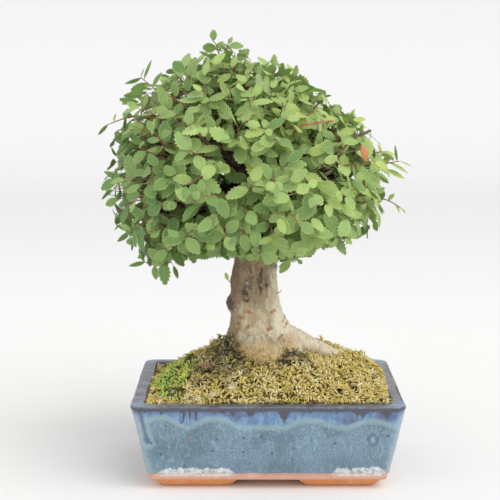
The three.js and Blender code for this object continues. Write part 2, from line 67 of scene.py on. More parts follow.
camera = bpy.data.objects.new("camera", bpy.data.cameras.new("camera"))
bpy.context.scene.collection.objects.link(camera)
camera.location = in_frame(CAMERA_PLACE)
camera.rotation_euler = (math.radians(90 - CAMERA_PITCH), 0, 0)
camera.data.lens = CAMERA_LENS
camera.data.sensor_width = 36
camera.data.clip_end = 20
bpy.context.scene.camera = camera

# Studio: a pale sheet of paper that lies on the floor and bends up far behind the plant, under a broad, even
# light from the right, the front and above, a weaker one from the left, and an even white surround.
SWEEP_FRONT, SWEEP_BACK = -2600, 2600
SWEEP_HALF, SWEEP_BEND, SWEEP_TOP = 3000, 700, 2600
SWEEP_COLOUR, SWEEP_FAR_SHADE = (0.79, 0.785, 0.777), (0.64, 0.64, 0.64)
SWEEP_SHADE_SPAN = (-100, 1700)
SURROUND = 0.78
PRINT_GAMMA = 1.15
LAMPS = [
    {"name": "key", "from": (800, -750, 1110), "spread": 55, "strength": 1.95},
    {"name": "fill", "from": (-900, -1000, 450), "spread": 50, "strength": 0.5},
]


def sheet_faces(rows, columns, closed=False):
    """Quads of a grid of points in rows, joined at the ends of its rows if closed."""
    across = columns if closed else columns - 1
    row, column = np.meshgrid(np.arange(rows - 1), np.arange(across), indexing="ij")
    a = row * columns + column
    b = row * columns + (column + 1) % columns
    return np.stack([a, b, b + columns, a + columns], axis=-1).reshape(-1, 4)


def listed(faces):
    """Faces as lists, which they are already where their corners differ in number."""
    return faces.tolist() if isinstance(faces, np.ndarray) else faces


def new_piece(name, points, faces):
    """An object whose mesh holds these points in the frame; its own origin stays at the frame's."""
    mesh = bpy.data.meshes.new(name)
    mesh.from_pydata(in_frame(points).tolist(), [], listed(faces))
    mesh.polygons.foreach_set("use_smooth", [True] * len(mesh.polygons))
    mesh.update()
    piece = bpy.data.objects.new(name, mesh)
    bpy.context.scene.collection.objects.link(piece)
    return piece


class Value:
    """What a socket gives in a shader. Sums with it add Math nodes, so that 1 - mask works as it reads."""

    def __init__(self, finish, socket):
        self.finish = finish
        self.socket = socket

    def math(self, operation, *terms):
        """A Math node of this operation on these terms."""
        return self.finish.add("ShaderNodeMath", {"operation": operation}, terms)

    def __add__(self, other):
        return self.math("ADD", self, other)

    def __sub__(self, other):
        return self.math("SUBTRACT", self, other)

    def __rsub__(self, other):
        return self.math("SUBTRACT", other, self)

    def __mul__(self, other):
        return self.math("MULTIPLY", self, other)

    def __truediv__(self, other):
        return self.math("DIVIDE", self, other)

    def __pow__(self, other):
        return self.math("POWER", self, other)

    __radd__ = __add__
    __rmul__ = __mul__

    def abs(self):
        """The number without its sign."""
        return self.math("ABSOLUTE", self)

    def most(self, other):
        """The greater of two numbers."""
        return self.math("MAXIMUM", self, other)


class Finish:
    """A material and the nodes of its pattern."""

    def __init__(self, name, roughness=0.7, **plain):
        self.material = bpy.data.materials.new(name)
        self.material.use_nodes = True
        self.tree = self.material.node_tree
        self.shader = self.tree.nodes["Principled BSDF"]
        self.shader.inputs["Roughness"].default_value = roughness
        for socket, value in plain.items():
            self.shader.inputs[socket.replace("_", " ")].default_value = value

    def add(self, kind, settings, sockets, output=0):
        """A node of this kind with its settings made first and then its sockets set or linked."""
        node = self.tree.nodes.new(kind)
        for key, value in settings.items():
            setattr(node, key, value)
        pairs = sockets.items() if isinstance(sockets, dict) else enumerate(sockets)
        for key, value in pairs:
            if isinstance(value, Value):
                self.tree.links.new(value.socket, node.inputs[key])
            elif isinstance(value, tuple) and node.inputs[key].type == "RGBA":
                node.inputs[key].default_value = (*value, 1)
            else:
                node.inputs[key].default_value = value
        return Value(self, node.outputs[output])

    def place(self):
        """Where a point is, in millimetres from the middle of the pot's base."""
        at = self.add("ShaderNodeTexCoord", {}, {}, "Object")
        at = self.add("ShaderNodeVectorMath", {"operation": "SUBTRACT"}, [at, tuple(POT_MIDDLE)])
        return self.add("ShaderNodeVectorMath", {"operation": "SCALE"}, {0: at, "Scale": 1 / MM})

    def mark(self, name):
        """A number that the mesh holds for each of its points."""
        return self.add("ShaderNodeAttribute", {"attribute_name": name}, {}, "Fac")

    def feed(self, socket, value):
        """Links a value to one of the main shader's sockets."""
        self.tree.links.new(value.socket, self.shader.inputs[socket])

    def relief(self, height, depth, strength=1.0):
        """Bump from a height of 0 to 1 that stands for this depth in millimetres."""
        sockets = {"Height": height, "Distance": depth * MM, "Strength": strength}
        self.feed("Normal", self.add("ShaderNodeBump", {}, sockets))

    def dress(self, piece):
        """Makes this the only material of a piece."""
        piece.data.materials.clear()
        piece.data.materials.append(self.material)


def parts(vector):
    """The three numbers of a vector."""
    return [vector.finish.add("ShaderNodeSeparateXYZ", {}, [vector], axis) for axis in range(3)]


def step(value, low, high):
    """A soft step from 0 below low to 1 above high; with low above high it falls instead."""
    sockets = [value, low, high, 0.0, 1.0]
    return value.finish.add("ShaderNodeMapRange", {"interpolation_type": "SMOOTHSTEP"}, sockets)


def mix(share, first, second, way="MIX"):
    """Colours mixed: the first where share is 0 and the second where it is 1."""
    finish = next(item.finish for item in (share, first, second) if isinstance(item, Value))
    settings = {"data_type": "RGBA", "blend_type": way}
    return finish.add("ShaderNodeMix", settings, {0: share, 6: first, 7: second}, 2)


bend =np.linspace(0, np.pi / 2, 16)
sweep_y = np.concatenate([[SWEEP_FRONT], SWEEP_BACK - SWEEP_BEND + SWEEP_BEND * np.sin(bend), [SWEEP_BACK]])
sweep_z = np.concatenate([[0], SWEEP_BEND - SWEEP_BEND * np.cos(bend), [SWEEP_TOP]])
sweep_points = [(x, y, z) for y, z in zip(sweep_y, sweep_z) for x in (-SWEEP_HALF, SWEEP_HALF)]
sweep = new_piece("sweep", sweep_points, sheet_faces(len(sweep_y), 2))
paper = Finish("paper", 0.9)
_, depth, _ = parts(paper.place())
# Painted shade: the paper's colour darkens from the front towards the back, which dims the far floor and the
# bend.
paper.feed("Base Color", mix(step(depth, *SWEEP_SHADE_SPAN), SWEEP_COLOUR, SWEEP_FAR_SHADE))
paper.dress(sweep)

for lamp in LAMPS:
    light = bpy.data.lights.new(lamp["name"], "SUN")
    light.angle = math.radians(lamp["spread"])
    light.energy = lamp["strength"]
    stand = bpy.data.objects.new(lamp["name"], light)
    bpy.context.scene.collection.objects.link(stand)
    stand.location = in_frame(lamp["from"])
    stand.rotation_euler = (-Vector(lamp["from"])).to_track_quat("-Z", "Y").to_euler()

world = bpy.data.worlds.new("surround")
world.use_nodes = True
world.node_tree.nodes["Background"].inputs["Color"].default_value = (1, 1, 1, 1)
world.node_tree.nodes["Background"].inputs["Strength"].default_value = SURROUND
bpy.context.scene.world = world
bpy.context.scene.view_settings.view_transform = "Standard"
bpy.context.scene.view_settings.gamma = PRINT_GAMMA

# Pot: one tapered tray of fired clay with a square-edged lip, dipped in a blue glaze that broke brown at the
# lip and ran down its sides. It stands on four corner feet, which are bare clay, and two holes drain it.
HALF_X, HALF_Y = 90.5, 67.5
FOOT_HEIGHT, FLOOR_TOP = 7.0, 13.0
RIM_CORNER, FOOT_CORNER = 8.0, 3.2
DRAIN_RADIUS, DRAIN_X = 8.0, 42.0
ROLL_HEIGHT, ROLL_DEPTH = 12.6, 0.3
ARC_STEPS, LONG_STEPS, SHORT_STEPS = 10, 48, 36
POT_SIDE = [
    (11.6, 7.0), (11.3, 7.5), (11.0, 9.0), (10.6, 11.0), (10.0, 11.7), (9.6, 12.6), (0.75, 55.6),
    (0.45, 56.4), (0.1, 57.2), (0.0, 58.2), (0.15, 59.1), (0.6, 59.75), (1.4, 60.0), (4.5, 59.95),
    (7.7, 59.9), (8.5, 59.6), (8.95, 58.9), (9.2, 57.5), (19.0, 15.5), (20.0, 13.6), (22.0, 13.0),
]
SIDE_LEVELS = 90
FOOT_OUTSIDE = [(20.8, 0.0), (19.6, 0.35), (18.4, 1.3), (17.0, 2.9), (15.4, 4.6), (14.1, 6.2), (13.6, 7.6)]
FOOT_INSET = 30.6
FRONT_GAP = (20.4, 26.2)
SIDE_GAP = (13.0, 18.0)


def ripple(points, size, seed, waves=20):
    """Smooth noise of about -1 to 1: sine waves of this length in random directions, added up."""
    draw = np.random.default_rng(seed)
    ways = draw.normal(size=(3, waves))
    ways *= 2 * np.pi / size / np.linalg.norm(ways, axis=0) * draw.uniform(0.7, 1.3, waves)
    starts = draw.uniform(0, 2 * np.pi, waves)
    return np.sin(np.asarray(points) @ ways + starts).sum(axis=1) / math.sqrt(waves)


def pot_outline():
    """Round-cornered rectangle, anticlockwise: each point's shares of straight side and of corner arc."""
    rows = []
    for quarter, steps in enumerate([LONG_STEPS, SHORT_STEPS, LONG_STEPS, SHORT_STEPS]):
        cross = np.array([(1, 1), (-1, 1), (-1, -1), (1, -1)][quarter], float)
        after = np.array([(-1, 1), (-1, -1), (1, -1), (1, 1)][quarter], float)
        turn = (quarter + np.arange(ARC_STEPS + 1) / ARC_STEPS) * np.pi / 2
        rows += [(*cross, math.cos(a), math.sin(a)) for a in turn]
        share = np.arange(1, steps)[:, None] / steps
        straight = cross + (after - cross) * share
        rows += [(*s, math.cos(turn[-1]), math.sin(turn[-1])) for s in straight]
    return np.array(rows)


def pot_ring(outline, inset, corner):
    """The outline set in from the rim's edge, with this radius at its corners."""
    x = (HALF_X - inset - corner) * outline[:, 0] + corner * outline[:, 2]
    y = (HALF_Y - inset - corner) * outline[:, 1] + corner * outline[:, 3]
    return x, y


def level_profile(points, count):
    """A profile with this many points evenly along its length, through the given ones."""
    points = np.array(points, float)
    run = np.concatenate([[0], np.cumsum(np.linalg.norm(np.diff(points, axis=0), axis=1))])
    even = np.union1d(np.linspace(0, run[-1], count), run)
    return np.stack([np.interp(even, run, points[:, 0]), np.interp(even, run, points[:, 1])], axis=1)


def pot_tray():
    """Rings of the outline up the outside, over the lip and down the inside, then both faces of the floor
    as spokes from the drain holes to the last and the first ring, and the holes' walls."""
    outline = pot_outline()
    profile = level_profile(POT_SIDE, SIDE_LEVELS)
    rings = []
    for inset, z in profile:
        x, y = pot_ring(outline, inset, max(FOOT_CORNER, RIM_CORNER - inset / 2))
        rings.append(np.stack([x, y, np.full(len(x), z)], axis=1))
    rings = np.array(rings)
    outward = np.stack([outline[:, 2], outline[:, 3], np.zeros(len(outline))], axis=1)
    flat = rings.reshape(-1, 3)
    uneven = (0.3 * ripple(flat, 70, 1) + 0.1 * ripple(flat, 16, 2)).reshape(rings.shape[:2])
    level = np.clip((rings[..., 2] - 14) / 20, 0, 1)
    roll_height = ROLL_HEIGHT + 0.5 * ripple(flat, 30, 3).reshape(uneven.shape)
    glaze_roll = ROLL_DEPTH * np.exp(-(rings[..., 2] - roll_height) ** 2)
    inside = np.arange(len(profile)) > np.argmax(profile[:, 1])
    push = np.where(inside[:, None], -uneven * level, uneven * level + glaze_roll)
    rings += outward[None] * push[..., None]
    points = [rings.reshape(-1, 3)]
    faces = [sheet_faces(len(rings), len(outline), closed=True)]
    start = len(points[0])
    count, back_middle = len(outline), ARC_STEPS + LONG_STEPS // 2
    left = [(back_middle + k) % count for k in range(count // 2 + 1)]
    right = [(back_middle + k) % count for k in range(count // 2, count + 1)]
    for ring, z, up in ((rings[-1], FLOOR_TOP, True), (rings[0], FOOT_HEIGHT, False)):
        for half, hole_x in ((left, -DRAIN_X), (right, DRAIN_X)):
            rim = ring[half]
            divider = np.linspace(rim[-1], rim[0], 26)[1:-1]
            loop = np.concatenate([rim, divider])
            spoke = loop - (hole_x, 0, z)
            circle = (hole_x, 0, z) + spoke * DRAIN_RADIUS / np.linalg.norm(spoke[:, :2], axis=1)[:, None]
            shares = np.array([0.0, 0.35, 1.0])[:, None, None]
            grid = loop + (circle - loop) * shares
            wall = circle + (0, 0, (FOOT_HEIGHT - FLOOR_TOP) / 2 if up else (FLOOR_TOP - FOOT_HEIGHT) / 2)
            grid = np.concatenate([grid, wall[None]])
            quads = sheet_faces(len(grid), len(loop), closed=True) + start
            points.append(grid.reshape(-1, 3))
            faces.append(quads if up else quads[:, ::-1])
            start += grid.shape[0] * grid.shape[1]
    return np.concatenate(points), np.concatenate(faces)


def pot_foot(sign_x, sign_y):
    """An L round one corner: levels by steps along it, an outer and an inner face, closed at ends, top and
    bottom. The ends slope back towards the top in a cove."""
    levels = np.array(FOOT_OUTSIDE)
    height = levels[:, 1] / FOOT_HEIGHT
    cove = height * height * (3 - 2 * height)
    end_x = FRONT_GAP[1] + (FRONT_GAP[0] - FRONT_GAP[1]) * np.clip(cove, 0, 1)
    end_y = SIDE_GAP[1] + (SIDE_GAP[0] - SIDE_GAP[1]) * np.clip(cove, 0, 1)
    turn = np.linspace(np.pi / 2, 0, 9)
    faces_of = []
    for inset in (levels[:, 0], np.full(len(levels), FOOT_INSET)):
        far_x = (HALF_X - inset - FOOT_CORNER)[:, None]
        far_y = (HALF_Y - inset - FOOT_CORNER)[:, None]
        leg_x = end_x[:, None] + (far_x - end_x[:, None]) * np.linspace(0, 1, 7)[:-1]
        leg_y = far_y + (end_y[:, None] - far_y) * np.linspace(0, 1, 6)[1:]
        arc_x = far_x + FOOT_CORNER * np.cos(turn)
        arc_y = far_y + FOOT_CORNER * np.sin(turn)
        x = np.concatenate([leg_x, arc_x, far_x + FOOT_CORNER + 0 * leg_y], axis=1)
        y = np.concatenate([far_y + FOOT_CORNER + 0 * leg_x, arc_y, leg_y], axis=1)
        z = np.repeat(levels[:, 1:2], x.shape[1], axis=1)
        faces_of.append(np.stack([sign_x * x, sign_y * y, z], axis=-1))
    rows, columns = faces_of[0].shape[:2]
    points = np.concatenate([side.reshape(-1, 3) for side in faces_of])
    points += 0.12 * ripple(points, 14, 4)[:, None] * (0, 0, 1) * (points[:, 2:3] > 0.3)
    side = sheet_faces(rows, columns)
    inside = rows * columns
    along = np.arange(columns - 1)
    low = np.stack([along, along + 1, along + 1 + inside, along + inside], axis=1)
    level = np.arange(rows - 1) * columns
    first = np.stack([level, level + inside, level + columns + inside, level + columns], axis=1)
    top, last = low + (rows - 1) * columns, first + columns - 1
    faces = np.concatenate([side[:, ::-1], side + inside, low[:, ::-1], top, first[:, ::-1], last])
    return points, faces if sign_x * sign_y > 0 else faces[:, ::-1]


def gathered(bodies):
    """Several sets of points and faces as one set. A face may have any number of corners."""
    points, faces, start = [], [], 0
    for body_points, body_faces in bodies:
        points.append(body_points)
        faces += [[corner + start for corner in face] for face in listed(body_faces)]
        start += len(body_points)
    return np.concatenate(points), faces


def weld(piece, gap=1e-6):
    """Joins doubled points and turns every face outwards."""
    work = bmesh.new()
    work.from_mesh(piece.data)
    bmesh.ops.remove_doubles(work, verts=work.verts, dist=gap)
    bmesh.ops.recalc_face_normals(work, faces=work.faces)
    work.to_mesh(piece.data)
    work.free()


def srgb(red, green, blue):
    """A colour given as 0 to 255 on a screen, as the light that a shader takes."""
    share = np.array([red, green, blue]) / 255
    return tuple(np.where(share <= 0.04045, share / 12.92, ((share + 0.055) / 1.055) ** 2.4).tolist())


def stretched(vector, along):
    """A vector with each of its three numbers multiplied."""
    return vector.finish.add("ShaderNodeVectorMath", {"operation": "MULTIPLY"}, [vector, along])


def noise(vector, size, detail=3.0, roughness=0.55):
    """Clouds from 0 to 1 whose patches are about this many millimetres across."""
    sockets = {"Vector": vector, "Scale": 1 / size, "Detail": detail, "Roughness": roughness}
    return vector.finish.add("ShaderNodeTexNoise", {}, sockets)


def spots(vector, size, output="Distance"):
    """Distance to the nearest of scattered points, or that point's own random colour."""
    return vector.finish.add("ShaderNodeTexVoronoi", {}, {"Vector": vector, "Scale": 1 / size}, output)


pot = new_piece("pot_shell", *gathered([pot_tray()] + [pot_foot(x, y) for x in (-1, 1) for y in (-1, 1)]))
weld(pot)

LINE_CRESTS = [(-70.6, 7.0), (-34.7, 6.4), (27.9, 5.2), (67.7, 4.6)]
BROWN_RUNS = [
    (-55.0, 1.3, 6.0), (-51.2, 1.1, 7.0), (-47.2, 1.3, 5.5), (10.3, 5.0, 6.5), (-12.0, 3.0, 2.0),
    (60.0, 6.0, 2.5), (77.0, 5.0, 3.0), (-30.0, 4.0, 1.5),
]
VIOLET_POOLS = [(52.4, 51.0, 9.0, 5.5), (77.5, 53.0, 9.0, 5.5), (-20.0, 54.0, 9.0, 3.0)]
CORNER_RUN = {"top": (-83.4, 55.0), "slant": 0.19, "drop": 36.0, "half": 1.9}
RING_BLEMISH = {"place": (68.9, 36.5), "half": (2.9, 3.9)}
RED_SPECK = (-50.7, 38.2, 1.0)
CRUST_SPANS = [(-75.0, -21.0), (41.0, 80.0)]
GREY_BLUE, DEEP_GREY, STREAK_BLUE = srgb(98, 126, 144), srgb(74, 100, 118), srgb(136, 166, 178)
SKY, CORNFLOWER, VIOLET = srgb(106, 146, 178), srgb(72, 100, 144), srgb(62, 62, 98)
GREEN_LINE, BROWN_BREAK = srgb(142, 172, 172), srgb(50, 42, 44)
RIM_GREY, RIM_BROWN, RIM_BLUE = srgb(92, 98, 112), srgb(64, 56, 60), srgb(112, 144, 172)
INNER_GREY, INNER_DARK = srgb(84, 90, 102), srgb(52, 54, 66)
BARE_PINK, FOOT_ORANGE, CLAY_PALE = srgb(192, 146, 128), srgb(214, 134, 74), srgb(218, 176, 150)
DRIP_BLUE, BLEMISH_BLUE, PIN_DARK = srgb(56, 66, 112), srgb(60, 84, 112), srgb(50, 52, 80)
LIME_WHITE, CLAY_STAIN = srgb(222, 222, 218), srgb(170, 104, 70)
SPECK_RED, CORNER_HIGHLIGHT_PALE = srgb(176, 82, 70), srgb(158, 178, 190)

glaze = Finish("blue_glaze", 0.3, Coat_Roughness=0.12)
at = glaze.place()
x, y, height = parts(at)
front = step(y, -48, -52)
cloud = noise(at, 20, 3)
fine = noise(stretched(at, (1, 1, 0.22)), 2.0, 4, 0.65)
speckle = noise(at, 1.3, 2, 0.75)
mottle = noise(stretched(at, (1, 1, 0.5)), 3.0, 4, 0.7)
jagged = noise(stretched(at, (1, 1, 0.12)), 4.2, 3)
crests = 0
for middle, rise in LINE_CRESTS:
    crests = step((x - middle).abs(), 19, 3) * rise + crests
waved = 44.4 + 9 * noise(stretched(at, (1, 1, 0)), 24, 1)
line_height = front * (45.0 + crests) + (1 - front) * waved + 2.4 * (mottle - 0.5)

body_blue = mix(step(cloud, 0.42, 0.62), GREY_BLUE, DEEP_GREY)
body_blue = mix(step(fine, 0.5, 0.7) * 0.6, body_blue, STREAK_BLUE)
body_blue = mix(step(mottle, 0.5, 0.66) * 0.45, body_blue, DEEP_GREY)
body_blue = mix(step(speckle, 0.52, 0.64) * 0.6, body_blue, DEEP_GREY)
body_blue = mix(step(speckle, 0.46, 0.34) * 0.42, body_blue, STREAK_BLUE)
body_blue = mix(step(height, 34, 12) * 0.3, body_blue, DEEP_GREY)
band_blue = mix(step(mottle, 0.36, 0.64), SKY, CORNFLOWER)
band_blue = mix(step(height + 4 * mottle, 53, 58) * 0.7, band_blue, CORNFLOWER)
violet = step(noise(at, 18, 2), 0.58, 0.68) * step(height, 48, 54) * (1 - front)
for pool_x, pool_z, half_x, half_z in VIOLET_POOLS:
    away = ((x - pool_x) / half_x).abs() + ((height - pool_z) / half_z).abs()
    violet = violet.most(step(away, 1.3, 0.5) * front)
band_blue = mix(violet * (0.4 + 0.5 * mottle), band_blue, VIOLET)
colour = mix(step(height - line_height, -1.0, 3.0), body_blue, band_blue)
line_share = step((height - line_height).abs(), 3.4, 0.2)
colour = mix(line_share * 0.45, colour, GREEN_LINE)

(run_left, run_top), run_half, run_drop = CORNER_RUN["top"], CORNER_RUN["half"], CORNER_RUN["drop"]
run_x = x - run_left - (run_top - height) * CORNER_RUN["slant"] + 1.6 * (mottle - 0.5)
drop_away = (run_x ** 2 + (0.75 * (height - run_drop)) ** 2) ** 0.5
above_drop = step(height, run_drop - 1, run_drop + 3)
halo = step(run_x.abs(), 2.6 * run_half, 1.2 * run_half) * above_drop * step(height, 57, 50)
halo = halo.most(step(drop_away, 3.2 * run_half, 1.8 * run_half)) * front
colour = mix(halo * 0.5, colour, GREEN_LINE)
corner_run = step(run_x.abs(), 1.3 * run_half, 0.2 * run_half) * above_drop * 0.9
corner_run = corner_run.most(step(drop_away, 1.6 * run_half, 0.7 * run_half)) * front
colour = mix(corner_run * 0.85, colour, DRIP_BLUE)
ring_x = (x - RING_BLEMISH["place"][0] + 2.4 * (mottle - 0.5)) / RING_BLEMISH["half"][0]
ring_z = (height - RING_BLEMISH["place"][1] + 2.4 * (fine - 0.5)) / RING_BLEMISH["half"][1]
ring_away = (ring_x ** 2 + ring_z ** 2) ** 0.5
ring = step((ring_away - 1).abs(), 0.6, 0.05) * front
colour = mix(step(ring_away, 0.7, 0.2) * front * 0.5, colour, GREEN_LINE)
colour = mix(ring * (0.35 + 0.8 * mottle), colour, BLEMISH_BLUE)
pin_spread = spots(stretched(at, (1, 1, 0.8)), 9.5)
pins = step(pin_spread, 0.125, 0.07) * step(height, 54, 48)
colour = mix(pins * 0.8, colour, PIN_DARK)
speck_away = ((x - RED_SPECK[0]) ** 2 + (height - RED_SPECK[1]) ** 2) ** 0.5
speck = step(speck_away, RED_SPECK[2], 0.5 * RED_SPECK[2]) * front
colour = mix(speck, colour, SPECK_RED)
# Painted highlight: the pot's rounded upright corners are painted a paler blue, broken up by the mottle.
edge_x = step(x.abs() - (height - 60) * 0.21, 84, 89.5)
edge_y = step(y.abs() - (height - 60) * 0.21, 61, 66.5)
upright = edge_x * edge_y * step(height, 56.5, 52)
colour = mix(upright * (0.2 + 0.5 * mottle), colour, CORNER_HIGHLIGHT_PALE)

run_height = 57.6 - 3.6 * step(jagged, 0.5, 0.78) - 3.0 * mottle
for middle, half, depth in BROWN_RUNS:
    run_height = run_height - step((x - middle).abs(), half, 0) * front * depth
brown = step(height - run_height, -0.8, 1.4) * step(height, 59.75, 59.2)
colour = mix(brown * 0.9, colour, BROWN_BREAK)
# The lip's rounded outer edge is painted a patchy lighter blue: partly worn glaze and partly a painted
# highlight.
worn_edge_and_highlight = step((height - 59.3).abs(), 0.55, 0.1) * step(mottle, 0.45, 0.65)
colour = mix(worn_edge_and_highlight * 0.6, colour, RIM_BLUE)
rim_cloud = noise(at, 7, 5, 0.7)
rim_colour = mix(step(rim_cloud, 0.4, 0.6), RIM_GREY, RIM_BROWN)
rim_colour = mix(step(rim_cloud, 0.42, 0.3) * 0.6, rim_colour, RIM_BLUE)
# Painted highlight: the rim's top is painted a lighter blue at its corners, broken up by the mottle.
rim_corner_highlight = step(x.abs(), 70, 88) * step(y.abs(), 46, 66)
rim_colour = mix(rim_corner_highlight * (0.3 + 0.7 * mottle), rim_colour, RIM_BLUE)
colour = mix(step(height, 59.3, 59.75), colour, rim_colour)
inside_x = step(x.abs() - (height - 57) * 0.22, 81.6, 80.6)
inside_y = step(y.abs() - (height - 57) * 0.22, 58.6, 57.6)
inner_colour = mix(step(fine, 0.4, 0.7), INNER_GREY, INNER_DARK)
colour = mix(inside_x * inside_y * step(height, 12, 14), colour, inner_colour)

glaze_end = 11.4 + 1.4 * noise(at, 14, 2)
bare = step(height - glaze_end, 0.5, -0.4)
clay = mix(step(height, 8.4, 6.6), BARE_PINK, FOOT_ORANGE)
stain = noise(at, 7, 4)
clay = mix(step(stain, 0.5, 0.75) * 0.6, clay, CLAY_PALE)
clay = mix(step(stain, 0.44, 0.3) * 0.3, clay, CLAY_STAIN)
colour = mix(bare, colour, clay)
crust_patch = step(noise(stretched(at, (1, 1, 0)), 30, 1), 0.52, 0.6) * (1 - front)
for left_end, right_end in CRUST_SPANS:
    span = step(x, left_end - 2, left_end + 6) * step(x, right_end + 2, right_end - 6)
    crust_patch = crust_patch.most(span * front)
ragged = noise(stretched(at, (1, 1, 0.6)), 5, 4, 0.75)
crust_edge = 10.5 + 10.5 * ragged * crust_patch
crust = step(height - crust_edge, 0.4, -0.6) * step(height, 8.8, 10.4) * crust_patch
crust = crust * step(noise(at, 2.6, 4, 0.8), 0.3, 0.62)
colour = mix(crust * 0.85, colour, LIME_WHITE)
glaze.feed("Base Color", colour)
matt = bare.most(crust)
glaze.feed("Roughness", 0.3 + 0.5 * matt + 0.12 * fine)
glaze.feed("Coat Weight", (1 - matt) * (0.4 - 0.3 * step(height, 59.3, 59.75)))
glaze.relief(0.45 * fine + 0.35 * noise(at, 5, 2) + 0.5 * crust - 0.3 * pins, 0.25, 0.6)
glaze.dress(pot)
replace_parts(pot, "pot")
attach(pot, "root")

# Mesh squares: two squares of black plastic netting that keep the soil in. They lie over the drain holes,
# held down by the soil.
NET_DARK, NET_PALE = srgb(30, 32, 34), srgb(52, 54, 56)
netting = Finish("netting", 0.6)
at = netting.place()
strands = noise(at, 0.8, 2)
netting.feed("Base Color", mix(strands, NET_DARK, NET_PALE))
netting.feed("Roughness", 0.5 + 0.3 * strands)
netting.relief(strands, 0.1)
for node in ("drain_screen_left", "drain_screen_right"):
    netting.dress(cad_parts[node])

# Soil: a dark, open mix of fired clay grains and bark that fills the pot under the moss and holds the tree's
# roots.
GRAIN_SIZE = 2.6
EARTH_BROWN, EARTH_DARK = srgb(84, 64, 46), srgb(38, 30, 24)
earth = Finish("earth", 0.95)
at = earth.place()
grains = spots(at, GRAIN_SIZE)
tint = spots(at, GRAIN_SIZE, "Color")
earth_colour = mix(step(grains, 0.2, 0.7), EARTH_BROWN, EARTH_DARK)
earth_colour = mix(0.25, earth_colour, tint, "MULTIPLY")
earth.feed("Base Color", earth_colour)
earth.feed("Roughness", 0.85 + 0.1 * grains)
earth.relief(1 - grains, 1.2)
earth.dress(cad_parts["soil"])

# Moss: short curling strands, straw yellow at their tips and dark between them, that grow on the soil over
# most of the mound. The mat is thicker at the right, along the front and on the clump at the trunk's left
# foot. A patch of a brighter, more upright moss grows at its left.
MOUND_HALF = (88.0, 64.0)
MOUND_EDGE, MOUND_RISE = 62.0, 22.0
FILL_HALF = (79.6, 56.6)
WALL_INSIDE, RIM_OVERHANG, RIM_TOP = (81.0, 58.0), 2.0, 60.4
GREEN_PATCH = (-64.0, -14.0, 13.0, 38.0)
BED_SINK, PATCH_SINK, FOOT_SINK = 4.6, 0.5, 2.8
BED_FLOOR, PATCH_FLOOR = 50, 55
STRAND_WIDTHS = np.array([0.8, 1.0, 0.85, 0.35])
# Hollows at the trunk's foot that get painted shade: middle across and back, half sizes across and back, and
# the most shade.
HOLLOW_SHADES = [
    (-27, -18, 13, 12, 1.0), (-31, -33, 20, 10, 0.7), (17, -19, 10, 9, 1.0), (0, -29, 14, 7, 0.5),
    (-42, -16, 15, 17, 0.5),
]
HUMPS = [
    (-29, 2, 13, 13, 10.5), (-25, -15, 10, 9, 12.5), (66, -2, 16, 30, 3.5), (-76, 28, 13, 30, -7.0),
    (17, -20, 7, 6, 7.5), (40, -7, 13, 8, -3.5), (34, 15, 14, 7, 6.5),
]


def wall_share(x, y):
    """How near places are to the pot's inner wall: 0 in the middle and 1 at the wall."""
    return np.maximum(np.abs(x) / 81.5, np.abs(y) / 58.5)


def mound_height(x, y):
    """Mean height of the moss: a dome to a power with humps and hollows on it, rolled down to the pot's rim
    by a power of the nearness to its wall. The power is higher and the roll shorter to the right."""
    reach = np.clip(1 - (x / MOUND_HALF[0]) ** 2 - (y / MOUND_HALF[1]) ** 2, 0, None)
    height = MOUND_EDGE + MOUND_RISE * reach ** 0.8
    for middle_x, middle_y, half_x, half_y, rise in HUMPS:
        height = height + rise * np.exp(-((x - middle_x) / half_x) ** 2 - ((y - middle_y) / half_y) ** 2)
    at_wall = 59.6 + x / 80
    return at_wall + (height - at_wall) * (1 - wall_share(x, y) ** (16 + 8 * np.tanh(x / 40)))


def moss_top(x, y):
    """Height of the moss's own surface: the mound with clumps on it, which are a product of two bent sines,
    and small tufts of added sines. Both fade towards the wall."""
    clumps = 2.0 * np.sin(0.33 * x + 1.4 * np.sin(0.17 * y)) * np.sin(0.37 * y + 1.2 * np.sin(0.21 * x) + 0.8)
    flat = np.stack([np.ravel(x), np.ravel(y), 0 * np.ravel(x)], axis=1)
    tufts = (0.9 * ripple(flat, 9, 11) + 0.7 * ripple(flat, 5, 12)).reshape(np.shape(x))
    near = wall_share(x, y) ** 8
    return mound_height(x, y) + clumps * (1 - near) + tufts * (1 - 0.5 * near)


def in_patch(x, y):
    """Whether places lie in the green patch's ellipse, whose edge is nibbled by waves."""
    middle_x, middle_y, half_x, half_y = GREEN_PATCH
    turn = np.arctan2(y - middle_y, x - middle_x)
    nibble = 1 + 0.16 * np.sin(7 * turn) + 0.14 * np.sin(13 * turn + 1)
    return ((x - middle_x) / half_x) ** 2 + ((y - middle_y) / half_y) ** 2 < nibble


